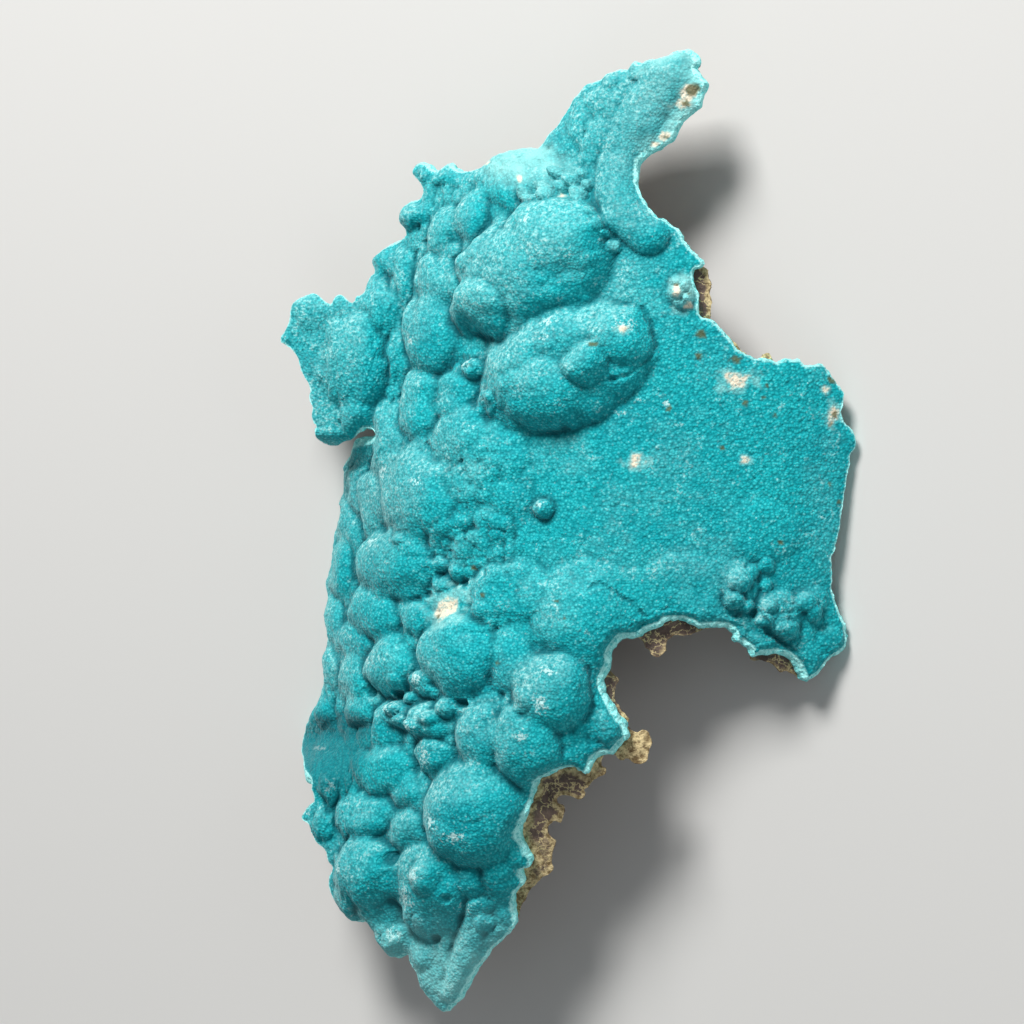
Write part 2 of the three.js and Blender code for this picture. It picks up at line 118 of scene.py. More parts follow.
world = bpy.data.worlds.new("studio")
bpy.context.scene.world = world
world.use_nodes = True
surround = world.node_tree.nodes["Background"]
surround.inputs["Color"].default_value = (0.80, 0.83, 0.86, 1)
surround.inputs["Strength"].default_value = 0.23

floor_mesh = bpy.data.meshes.new("floor")
corners = [(FLOOR_REACH * x, FLOOR_REACH * y, 0) for x, y in ((-1, -1), (1, -1), (1, 1), (-1, 1))]
floor_mesh.from_pydata(corners, [], [(0, 1, 2, 3)])
floor = bpy.data.objects.new("floor", floor_mesh)
bpy.context.scene.collection.objects.link(floor)
floor_paint = bpy.data.materials.new("pale_floor")
floor_paint.use_nodes = True
floor_shader = floor_paint.node_tree.nodes["Principled BSDF"]
floor_shader.inputs["Base Color"].default_value = (0.62, 0.62, 0.61, 1)
floor_shader.inputs["Roughness"].default_value = 0.8
floor_mesh.materials.append(floor_paint)


# The curved sheet
# Crust and rind grew on a rounded surface, so both follow one sheet. It rolls away to the left
# in three bends, curls down at the right, falls back at the horn and the tip, and flares out
# again along three stretches of its left edge.
BEND_LEAN = 0.125
BENDS = [
    {"at": 12, "softness": 4, "slope": 0.4, "stretch": 0.08},
    {"at": -1.5, "softness": 3, "slope": 0.6, "stretch": 0.34},
    {"at": -13, "softness": 2.4, "slope": 1.15, "stretch": 0.95},
]
RIGHT_CURL = {"from": 33, "softness": 3, "slope": 0.32}
TOP_FALL = {"from": 37, "softness": 2.5, "slope": 0.5}
STEEPER_TOP = {"extra": 0.45, "from": 10, "full": 2}
TIP_FALL = {"from": -36, "softness": 5, "slope": 0.35}
FLARES = [
    {"level": -24, "slope": 0.3, "from": -19, "low": (5, 10), "high": (26, 36)},
    {"level": -20.5, "slope": 0.3, "from": -17, "low": (-80, -70), "high": (-34, -28)},
    {"level": -21, "slope": 0.6, "from": -9, "low": (26, 36), "high": (70, 80)},
]
FLARE_SOFTNESS = 1.5
WIDEST = 90.0
HALVINGS = 40


def ramp(x, softness):
    """Zero below zero, rising one for one above it, with a rounded foot."""
    return softness * np.logaddexp(0.0, x / softness)


def step(x, start, full):
    """Smooth step from 0 at start to 1 at full, in either direction: 3 t squared less 2 t cubed,
    t the share of the way."""
    t = np.clip((x - start) / (full - start), 0.0, 1.0)
    return t * t * (3 - 2 * t)


def sheet_depth(u, v):
    """Depth of the bare sheet: less a rounded ramp for each bend, curl and fall, plus a ramp
    up to a flare's level where the sheet lies deeper than it."""
    across = u - BEND_LEAN * v
    depth = np.zeros_like(u)
    for bend in BENDS:
        depth -= bend["slope"] * ramp(bend["at"] - across, bend["softness"])
    depth -= RIGHT_CURL["slope"] * ramp(across - RIGHT_CURL["from"], RIGHT_CURL["softness"])
    steeper = step(u, STEEPER_TOP["from"], STEEPER_TOP["full"])
    top_slope = TOP_FALL["slope"] + STEEPER_TOP["extra"] * steeper
    depth -= top_slope * ramp(v - TOP_FALL["from"], TOP_FALL["softness"])
    depth -= TIP_FALL["slope"] * ramp(TIP_FALL["from"] - v, TIP_FALL["softness"])
    for flare in FLARES:
        share = step(v, *flare["low"]) * (1 - step(v, *flare["high"]))
        level = flare["level"] - flare["slope"] * (flare["from"] - u)
        depth += share * ramp(level - depth, FLARE_SOFTNESS)
    return depth


def sheet_point(u, v):
    """Point of the sheet that the eye sees at u, v: moved out from the axis by its depth."""
    w = sheet_depth(u, v)
    spread = (EYE_DISTANCE - w) / EYE_DISTANCE
    return np.stack([u * spread, v * spread, w], axis=-1)


def sheet_normal(u, v):
    """Unit normal of the sheet, from the cross product of its two central differences."""
    reach = 0.4
    along_u = sheet_point(u + reach, v) - sheet_point(u - reach, v)
    along_v = sheet_point(u, v + reach) - sheet_point(u, v - reach)
    normal = np.cross(along_u, along_v)
    return normal / np.linalg.norm(normal, axis=-1, keepdims=True)


def stretched(u, v):
    """Length along the rolled sheet from its middle, so that steep places keep their size."""
    across = u - BEND_LEAN * v
    length = across.copy()
    for bend in BENDS:
        length -= bend["stretch"] * ramp(bend["at"] - across, bend["softness"])
    return length


def unstretched(length, v):
    """The u whose stretched length is given, by halving an interval many times."""
    low = np.full_like(length, -WIDEST)
    high = np.full_like(length, WIDEST)
    for _ in range(HALVINGS):
        middle = (low + high) / 2
        below = stretched(middle, v) < length
        low = np.where(below, middle, low)
        high = np.where(below, high, middle)
    return low


# Lumps
# Rosasite grows as balls that run into each other. The broad swells carry the lumps, and the
# lumps carry the nodules. All are listed: centre u and v, half width, half height, turn in
# degrees, rise.
SWELLS = [
    (-7.5, 4, 8.5, 9, 0, 1.5), (2.4, 30.8, 10, 6.5, 35, 3.6), (6.8, 18.2, 10, 6.8, 27, 3.2),
    (8.5, -13, 7, 6.2, 0, 1.4), (15, -11, 4.6, 3.6, 0, 0.6), (22, -9.5, 6, 4, 0, 0.6),
    (31.5, -2.5, 4.4, 3.6, 0, 0.5), (-5, -20, 8, 11, 0, 1), (2.5, -25, 7, 9, 0, 1.2),
    (1, 42, 5, 4, 0, 1.3), (-6, -40, 8, 9, 0, 1.2),
    (-18, -44, 6, 6, 0, 1.2), (12, 50, 5, 5, 0, 0.8),
]
LUMPS = [
    # upper left corner and pale top
    (-12.3, 37.2, 1.8, 1.8, 0, 1.1), (-8, 42, 1.8, 1.6, 0, 0.9), (-4.6, 41.6, 1.6, 1.5, 0, 0.8),
    (-5, 37, 2.1, 3.4, -20, 1.4), (-8.3, 35, 1.8, 3.4, -20, 1.3), (-9, 28.8, 2.6, 3.3, 0, 1.6),
    (-16, 31.3, 2.2, 2.2, 0, 1.2), (-13.2, 30, 1.6, 3.6, 0, 1.1), (1.5, 42.3, 3.6, 3.2, 0, 0.6),
    (-4.2, 32.2, 2, 2.4, 0, 1), (-7.4, 31.8, 1.4, 1.6, 0, 0.9),
    # upper great lump: crown, middle and its lower left shoulder
    (7.2, 34.4, 4.6, 4.2, 20, 1.1), (0.6, 29.6, 5.2, 4, 35, 0.8), (-3.4, 25, 3.3, 3.3, 0, 1.7),
    (3.4, 26.2, 3, 2, 20, 0.7),
    # lower great lump: a cluster of five
    (14, 22.2, 3.4, 3.4, 0, 1.2), (10, 18.2, 2.5, 2.5, 0, 1.7), (4.2, 14.4, 4.4, 4.2, 0, 1.3),
    (0.6, 19.6, 3.4, 3.4, 0, 1), (6.8, 22.6, 4, 2.6, 25, 0.7),
    # horn and the band that swoops down from it
    (11.4, 46.4, 2, 3.4, -35, 0.8), (11.8, 51.2, 3, 2.4, 30, 0.7), (7.2, 47.4, 1.6, 3.4, -40, 0.5),
    (6, 40.6, 2.6, 2, 0, 0.8), (21.2, 27.6, 1.7, 2, 0, 0.6),
    # flap on the left and the columns below it
    (-19.5, 18.5, 4.2, 5.6, 0, 1.9), (-19.6, 12.5, 2.1, 2.4, 0, 1.3), (-16, 24.8, 2.6, 2.8, 0, 1),
    (-25.2, 25, 2.2, 2, 0, 0.5), (-14, 19.6, 1.3, 3, 0, 1.1),
    (-10, 22.5, 3.4, 5, 0, 2.1), (-11.3, 14, 2.6, 4.6, 0, 1.7), (-7, 14.5, 2.7, 2.8, 0, 1.2),
    (-15.2, 8.6, 2.5, 5, 0, 1.6), (-16.8, 1.2, 2, 4.2, 0, 1.4), (-19, 3.4, 1.5, 4, 0, 1.2),
    (-20.3, -1.5, 1.3, 3.4, 0, 1.1), (-11.4, 2, 4.6, 6, 0, 1.7), (-5.5, 9.8, 3.4, 3.4, 0, 1),
    # middle of the left side
    (-14.3, -6.6, 4.4, 4.6, 0, 2.3), (-20.8, -7.2, 1.5, 3.6, 0, 1.3),
    (-21.6, -13.6, 1.3, 3.2, 0, 1.2), (-22, -19.4, 1.2, 2.8, 0, 1.1), (-23.2, -25, 1.2, 2.2, 0, 1),
    (-16.8, -12.5, 3, 3.4, 0, 1.8), (-11.9, -13, 2.3, 2.3, 0, 1.3), (-19.5, -15.8, 2.1, 2.8, 0, 1.2),
    (-19.2, -20.4, 1.9, 3.2, 0, 1.2), (-15, -19, 2.8, 4.2, 0, 1.9),
    (-6.4, -17.7, 4.4, 5, 0, 2.1), (0, -10, 4.4, 3.4, 0, 1.2), (0.2, -18.6, 2.9, 4, 0, 1.3),
    (-10.4, -21.3, 1.8, 1.8, 0, 1.1), (-9.8, -26.2, 2.4, 2.3, 0, 1.6),
    (-13.5, -25.5, 1.8, 1.8, 0, 1.1), (-9.5, -30.2, 2.4, 2.2, 0, 1.5),
    (-15.9, -27, 1.7, 2.8, 0, 1.2), (-18.9, -24.6, 1.6, 2, 0, 1), (-3.6, -28.5, 2.8, 4.6, 0, 1.8),
    # below the centre, beside the bay
    (5.5, -22.5, 4.4, 4.7, 0, 2.2), (2, -29, 3.9, 4.8, 0, 2), (8.5, -13.5, 5.6, 5, 0, 0.9),
    # right lobe
    (28.6, -9.4, 2.2, 2.8, 0, 0.9), (33.2, -12.8, 3.2, 2.8, 0, 1), (37.4, -11.6, 2, 2, 0, 0.7),
    # bottom
    (-4.8, -37.8, 5.4, 6, 0, 2.6), (-9.8, -47, 4.1, 5.8, 0, 2.2), (-17.8, -45, 4.8, 4.6, 0, 2.6),
    (-20.6, -48.3, 2.2, 2.2, 0, 1.3), (-16.5, -49.6, 2.6, 3.4, 0, 1.5),
    (-14.8, -53, 2.1, 2.1, 0, 1.1), (-11, -55, 1.9, 2, 0, 1), (-4.7, -45.8, 1.8, 2, 0, 1.1),
    (-1.3, -45, 1.8, 3, 0, 1.1), (-12.4, -39.5, 2, 2.7, 0, 1.3), (-13, -34.6, 1.9, 2, 0, 1.1),
    (-18.2, -38, 4, 3, 0, 1.9), (-16.4, -32.4, 3.6, 3, 0, 1.5), (-22.6, -34.6, 1.4, 1.5, 0, 1),
    (-23.8, -39.2, 1.5, 2, 0, 1.1), (-22.6, -30.6, 2.8, 2.8, 0, 0.8),
]
SHOULDER = 0.9
CAP_POWER = 2.4
FUSING = 0.32
NODULE_FUSING = 0.05
LUMP_SPREAD = 1.16
SWELL_SPREAD = 1.1
FOOT_SHIFT = 0.5

# Bands are long swellings: the one that swoops from the horn down the right rim, and two ridges
# at the tip. Each is a path, a radius and a rise.
BANDS = [
    ([(19.6, 54.4), (17.3, 51), (15.3, 47.4), (13.5, 43.6), (13.2, 40), (14.5, 36.9),
      (17, 34.9)], 2.9, 1.6),
    ([(-3.6, -49), (-5.2, -54), (-7, -60)], 1.9, 1.6),
    ([(-8.3, -52.5), (-9.6, -58.5)], 1.6, 1.1),
]

# Cracks and pinched grooves, in the same way: a path, half a width and a depth.
CRACKS = [
    ([(10.4, -9.4), (13, -10), (15.5, -11), (17, -13)], 0.3, 0.25),
    ([(16.4, 25.4), (17.7, 23.6), (17.9, 21.2), (16.9, 18.9), (15, 17.2), (13.2, 16.6)], 0.3, 0.25),
    ([(30, -12), (31.5, -15), (34, -16.5), (35, -18)], 0.5, 0.6),
]

# Nodules ride on whatever lies below them, and are listed like the lumps.
NODULES = [
    # beads at the foot of the horn and beside its band
    (7.5, 41.3, 1, 1.05, 0, 1.4), (8.3, 39.7, 1.05, 1.1, 0, 1.4), (4.8, 39.4, 1.2, 1.3, 0, 1.5),
    (2.3, 39, 1, 1, 0, 1.1), (6, 42.1, 0.85, 0.9, 0, 1.1), (9.3, 40.8, 0.75, 0.8, 0, 1),
    (3.5, 38.5, 0.7, 0.7, 0, 0.6), (6.4, 40.3, 0.85, 0.9, 0, 1.1), (8.6, 42.2, 0.75, 0.8, 0, 0.9),
    (10.2, 37.2, 0.7, 0.7, 0, 0.5), (11.2, 35.4, 0.6, 0.8, 0, 0.5), (12.8, 33.2, 0.9, 0.9, 0, 0.8),
    (12.1, 34.5, 0.5, 0.5, 0, 0.5), (12.5, 54, 1.2, 1.2, 0, 0.5), (15.5, 55, 1.2, 1.2, 0, 0.5),
    # single nodules on the centre
    (3.9, 0.4, 1.3, 1.3, 0, 1.2), (-4.3, 17.8, 1.3, 1.3, 0, 1), (-2.5, 13.5, 1.7, 1.7, 0, 0.9),
    (-12, -3.6, 0.75, 0.75, 0, 0.5), (-8.4, -6.6, 1.05, 1.05, 0, 0.8), (-8.4, -9, 1.05, 1.05, 0, 0.7),
    (-6.5, -7.7, 0.95, 0.95, 0, 0.7), (-3, -13.2, 2, 2, 0, 0.7), (-12.9, -21.3, 1, 1, 0, 0.5),
    (-7.2, -24.5, 1.3, 1.3, 0, 1), (-13.8, -24.5, 1.1, 1, 0, 0.9), (-12.2, -23.2, 0.9, 0.8, 0, 0.8),
    (-10.7, -26.8, 1.2, 1, 0, 0.8), (-8.5, -25.6, 1, 1, 0, 0.8), (-12.8, -26.3, 0.9, 1, 0, 0.7),
    (-8.9, -22.6, 0.8, 0.8, 0, 0.7), (2.3, -23.5, 1.6, 1.6, 0, 0.6), (-8.8, -44.7, 1.6, 2.4, 0, 0.8),
    (-3, -51, 1.2, 1.2, 0, 0.6),
    # low swellings on the great lump near the tip
    (-2.9, -35.6, 2.6, 2.2, 30, 0.3), (-6.6, -39.9, 2.4, 2, -20, 0.3), (-3, -40.8, 2, 1.7, 0, 0.3),
    # rim of the bay and the right lobe
    (12.4, -27, 1.8, 2.4, 0, 0.8), (28.4, -8.4, 1.7, 1.7, 0, 1.1), (27.6, -11, 1.4, 1.2, 0, 1),
    (30, -7.4, 1, 1, 0, 0.8), (29.3, -11.8, 1.1, 0.9, 0, 0.8), (31.8, -11.6, 1.2, 1, 0, 0.8),
    (31.2, -13.4, 1.1, 1, 0, 0.9), (31.7, -9.2, 0.9, 0.8, 0, 0.7), (31.8, -6.7, 1.1, 1, 0, 0.7),
    (36.6, -11.2, 1.4, 1.3, 0, 0.9), (37.6, -12.6, 1.1, 1.2, 0, 0.8), (34.2, -14.8, 1.8, 1.3, 0, 0.7),
    # crumbly knob at the upper right edge
    (20.5, 29, 0.8, 0.7, 0, 0.7), (21.7, 28.3, 0.8, 0.8, 0, 0.8), (20.6, 27.4, 0.8, 0.8, 0, 0.8),
    (21.9, 26.7, 0.8, 0.7, 0, 0.7), (20.9, 25.9, 0.7, 0.6, 0, 0.6), (22.4, 27.6, 0.5, 0.6, 0, 0.5),
]

# Pits are where a few lumps left a hole between them, listed like the lumps with a depth.
PITS = [
    (-5.5, -23.9, 0.9, 0.7, 0, 1.1), (-13.6, -22.7, 0.7, 0.6, 0, 1.1), (-13.7, -43, 0.8, 1, 0, 1),
    (-9, -53, 0.6, 0.8, 0, 0.6), (-6.5, -47.4, 0.6, 0.7, 0, 0.4), (-5.6, -8.9, 0.6, 0.5, 0, 0.7),
    (-9.9, -10.4, 0.6, 0.5, 0, 0.7), (12.9, 16.4, 0.6, 0.4, 0, 0.5), (-17.2, -22.4, 0.6, 0.9, 0, 0.9),
]


def fused(first, second, reach):
    """The higher of two heights, plus reach / 4 times the square of (1 - their gap / reach)
    where they are closer than reach, so that they run into each other without a sharp crease."""
    closeness = np.clip(1 - abs(first - second) / reach, 0, 1)
    return np.maximum(first, second) + reach / 4 * closeness ** 2


def highest_cap(u, v, caps, spread, fusing=FUSING):
    """The highest of many caps at each place, and no less than 0. A cap is its rise times the
    root of (1 - shoulder r to the cap power), r its ellipse radius, shifted to be zero where r
    is 1. Its foot is moved against the sheet's lean, so that its top is seen where it's listed."""
    highest = np.zeros_like(u)
    foot = math.sqrt(1 - SHOULDER)
    for cap_u, cap_v, width, height, turn, rise in caps:
        lean = sheet_normal(np.array(cap_u, float), np.array(cap_v, float))
        from_u = u - (cap_u - FOOT_SHIFT * rise * lean[0])
        from_v = v - (cap_v - FOOT_SHIFT * rise * lean[1])
        near = np.maximum(abs(from_u), abs(from_v)) < spread * max(width, height)
        cos, sin = math.cos(math.radians(turn)), math.sin(math.radians(turn))
        right = (from_u[near] * cos + from_v[near] * sin) / (width * spread)
        up = (from_v[near] * cos - from_u[near] * sin) / (height * spread)
        shape = np.sqrt(np.clip(1 - SHOULDER * (right ** 2 + up ** 2) ** (CAP_POWER / 2), 0, None))
        cap = rise * (shape - foot) / (1 - foot)
        highest[near] = fused(highest[near], cap, fusing * rise)
    return highest


def highest_band(u, v, bands):
    """Rounded bands along paths of straight runs, with a cap's profile over the distance to the
    nearest run."""
    highest = np.zeros_like(u)
    foot = math.sqrt(1 - SHOULDER)
    for path, radius, rise in bands:
        nearest = np.full_like(u, np.inf)
        for (from_u, from_v), (to_u, to_v) in zip(path[:-1], path[1:]):
            run_u, run_v = to_u - from_u, to_v - from_v
            along = ((u - from_u) * run_u + (v - from_v) * run_v) / (run_u ** 2 + run_v ** 2)
            along = np.clip(along, 0, 1)
            gap = np.hypot(u - from_u - along * run_u, v - from_v - along * run_v) / radius
            nearest = np.minimum(nearest, gap)
        shape = np.sqrt(np.clip(1 - SHOULDER * nearest ** CAP_POWER, 0, None))
        highest = np.maximum(highest, rise * (shape - foot) / (1 - foot))
    return highest


CELL_TURNS = (127.1, 311.7, 74.7)
LARGE_SINE = 43758.5453


def scattered(cells_x, cells_y, seed):
    """A number from 0 to 1 for each whole cell: the fraction of a large sine of its place."""
    turns = cells_x * CELL_TURNS[0] + cells_y * CELL_TURNS[1] + seed * CELL_TURNS[2]
    sines = LARGE_SINE * np.sin(turns)
    return sines - np.floor(sines)


def pebbles(x, y, size, seed):
    """Ball-topped pebbles, one in each cell of a grid: the highest of root(1 - d squared) over
    the nine nearest cells, d the distance to the pebble in its own radius. Its centre keeps 0.15
    of a cell from the cell's sides, and its radius is 0.55 to 1 of a cell."""
    cell_x = np.floor(x / size)
    cell_y = np.floor(y / size)
    highest = np.zeros_like(x)
    for step_x in (-1, 0, 1):
        for step_y in (-1, 0, 1):
            other_x = cell_x + step_x
            other_y = cell_y + step_y
            centre_x = (other_x + 0.15 + 0.7 * scattered(other_x, other_y, seed)) * size
            centre_y = (other_y + 0.15 + 0.7 * scattered(other_x, other_y, seed + 1)) * size
            radius = size * (0.55 + 0.45 * scattered(other_x, other_y, seed + 2))
            far = ((x - centre_x) ** 2 + (y - centre_y) ** 2) / radius ** 2
            highest = np.maximum(highest, radius / size * np.sqrt(np.clip(1 - far, 0, None)))
    return highest


def waves(x, y, size, seed):
    """Soft noise from -1 to 1: smoothly mixed cell numbers of a grid of the given size."""
    cell_x = np.floor(x / size)
    cell_y = np.floor(y / size)
    share_x = step(x / size - cell_x, 0.0, 1.0)
    share_y = step(y / size - cell_y, 0.0, 1.0)
    low, high = (
        scattered(cell_x, row, seed) * (1 - share_x) + scattered(cell_x + 1, row, seed) * share_x
        for row in (cell_y, cell_y + 1))
    return 2 * (low * (1 - share_y) + high * share_y) - 1


def ovals(u, v, patches):
    """One row for each oval patch: its strength inside, fading to 0 between two shares of its
    size. A patch is a strength, a centre, two half sizes and those two shares."""
    rows = []
    for strength, (patch_u, patch_v), (width, height), fade in patches:
        radius = np.hypot((u - patch_u) / width, (v - patch_v) / height)
        rows.append(strength * (1 - step(radius, *fade)))
    return np.array(rows)


def zoned(u, v, zones):
    """The sum of the zones, each its strength times a smooth step for every bound. A zone is a
    strength, its bounds across u and its bounds up v, from where they start to where they end."""
    total = np.zeros_like(u)
    for strength, across, up in zones:
        share = np.full_like(u, strength)
        for bound in across:
            share *= step(u, *bound)
        for bound in up:
            share *= step(v, *bound)
        total += share
    return total


# Small lumps thin out on the flap and on the shelf below it, and beads crowd one patch of the
# middle.
THIN_ZONES = [(0.85, [(-17, -19.5)], [(6, 9), (29, 27)]), (0.85, [(-20, -22)], [(-25, -28)])]
BEADED_PATCH = [(0.6, (-3.5, -4.5), (7, 4.6), (0.7, 1.2))]

# A few nodules are mulberry-like bunches of beads, painted brighter than the rest with frost and
# painted light: centre and radius.
BUNCHES = [
    (-10.4, -21.2, 2), (-13.4, -25.4, 1.8), (-9.9, -26.2, 2.2), (-6.9, -24.4, 1.4), (3.9, 0.4, 1.4),
    (-22.6, -34.6, 1.5), (-14.6, -52.8, 2.2), (-10.6, -50.5, 2), (-8.8, -44.6, 1.8), (-4.3, 17.8, 1.4),
    (-12.4, 37, 1.8), (-11.6, 42.4, 1.6), (28.4, -9.8, 2.6), (33, -12.6, 3.2), (21.4, 27.6, 2),
]
BUNCH_FADE = (0.5, 1.1)


def lumpiness(u, v):
    """How thickly small lumps cover the sheet: all over its left and bottom, none on the plain,
    some at the top, and few where it flares out thin."""
    plain = step(u - 0.1 * v, -1, 5) * step(v, -17, -9)
    return np.maximum(1 - plain, 0.35 * step(v, 36, 42)) * (1 - zoned(u, v, THIN_ZONES))


def bunched(u, v):
    """1 in the middle of a bunch, fading to 0 at its rim."""
    patches = [(1, (bunch_u, bunch_v), (radius, radius), BUNCH_FADE)
               for bunch_u, bunch_v, radius in BUNCHES]
    return ovals(u, v, patches).max(axis=0)


# Places are warped by soft noise of two sizes, across and up. The bed of small lumps and the
# beads are pebbles.
WARPS = [
    {"reach": 0.55, "sizes": (3.4, 3.1), "seeds": (31, 33)},
    {"reach": 0.2, "sizes": (1.3, 1.2), "seeds": (32, 34)},
]
BED = {"size": 2.9, "rise": 1.1, "sunk": 0.2}
GAP_BEADS = {"size": 1.2, "rise": 0.9}
BUNCH_BEADS = {"size": 0.95, "rise": 0.4}
LUMP_RISE = 1.1
ROUGH_RISE = 0.45
BEADS_BELOW = 1.1


def growth(u, v):
    """Height of swells, lumps and nodules over the bare sheet, less cracks and pits. Small lumps
    and beads fill the gaps, and the warp keeps lumps from being true ovals."""
    length = stretched(u, v)
    warped_u = u.copy()
    warped_v = v.copy()
    for warp in WARPS:
        warped_u += warp["reach"] * waves(length, v, warp["sizes"][0], warp["seeds"][0])
        warped_v += warp["reach"] * waves(length, v, warp["sizes"][1], warp["seeds"][1])
    rough = lumpiness(u, v)
    lumps = (LUMP_RISE + ROUGH_RISE * rough) * highest_cap(warped_u, warped_v, LUMPS, LUMP_SPREAD)
    lumps = np.maximum(lumps, highest_band(u, v, BANDS))
    bed = rough * (BED["rise"] * pebbles(length, v, BED["size"], 35) - BED["sunk"])
    merged = fused(lumps, bed, FUSING)
    gaps = rough * np.clip(BEADS_BELOW - merged, 0, 1) * step(waves(length, v, 6, 36), -0.5, 0.3)
    gap_beads = GAP_BEADS["rise"] * pebbles(length, v, GAP_BEADS["size"], 37)
    bunch_beads = BUNCH_BEADS["rise"] * pebbles(length, v, BUNCH_BEADS["size"], 39)
    beads = np.maximum(gaps, ovals(u, v, BEADED_PATCH)[0]) * gap_beads
    beads += bunched(u, v) * bunch_beads
    swells = highest_cap(warped_u, warped_v, SWELLS, SWELL_SPREAD)
    nodules = highest_cap(u, v, NODULES, 1.0, NODULE_FUSING)
    cracks = highest_band(warped_u, warped_v, CRACKS)
    pits = highest_cap(u, v, PITS, 1.0, NODULE_FUSING)
    return swells + merged + beads + nodules - cracks - pits


RING_RADIUS = 0.8
RING_POINTS = 6
CREASE_DEPTH = 0.4


def creases(u, v):
    """How far a place lies under the mean of a ring of neighbours, as a share of the crease
    depth, and how much it slopes to the upper left, from -1 to 1."""
    turns = np.linspace(0, 2 * math.pi, RING_POINTS, endpoint=False)
    ring = [growth(u + RING_RADIUS * math.cos(turn), v + RING_RADIUS * math.sin(turn))
            for turn in turns]
    slope = sum(height * math.cos(turn + math.pi / 4) for height, turn in zip(ring, turns))
    slope *= 2 / (RING_POINTS * RING_RADIUS)
    depth = sum(ring) / RING_POINTS - growth(u, v)
    return np.clip(depth / CREASE_DEPTH, 0, 1), np.clip(slope, -1, 1)


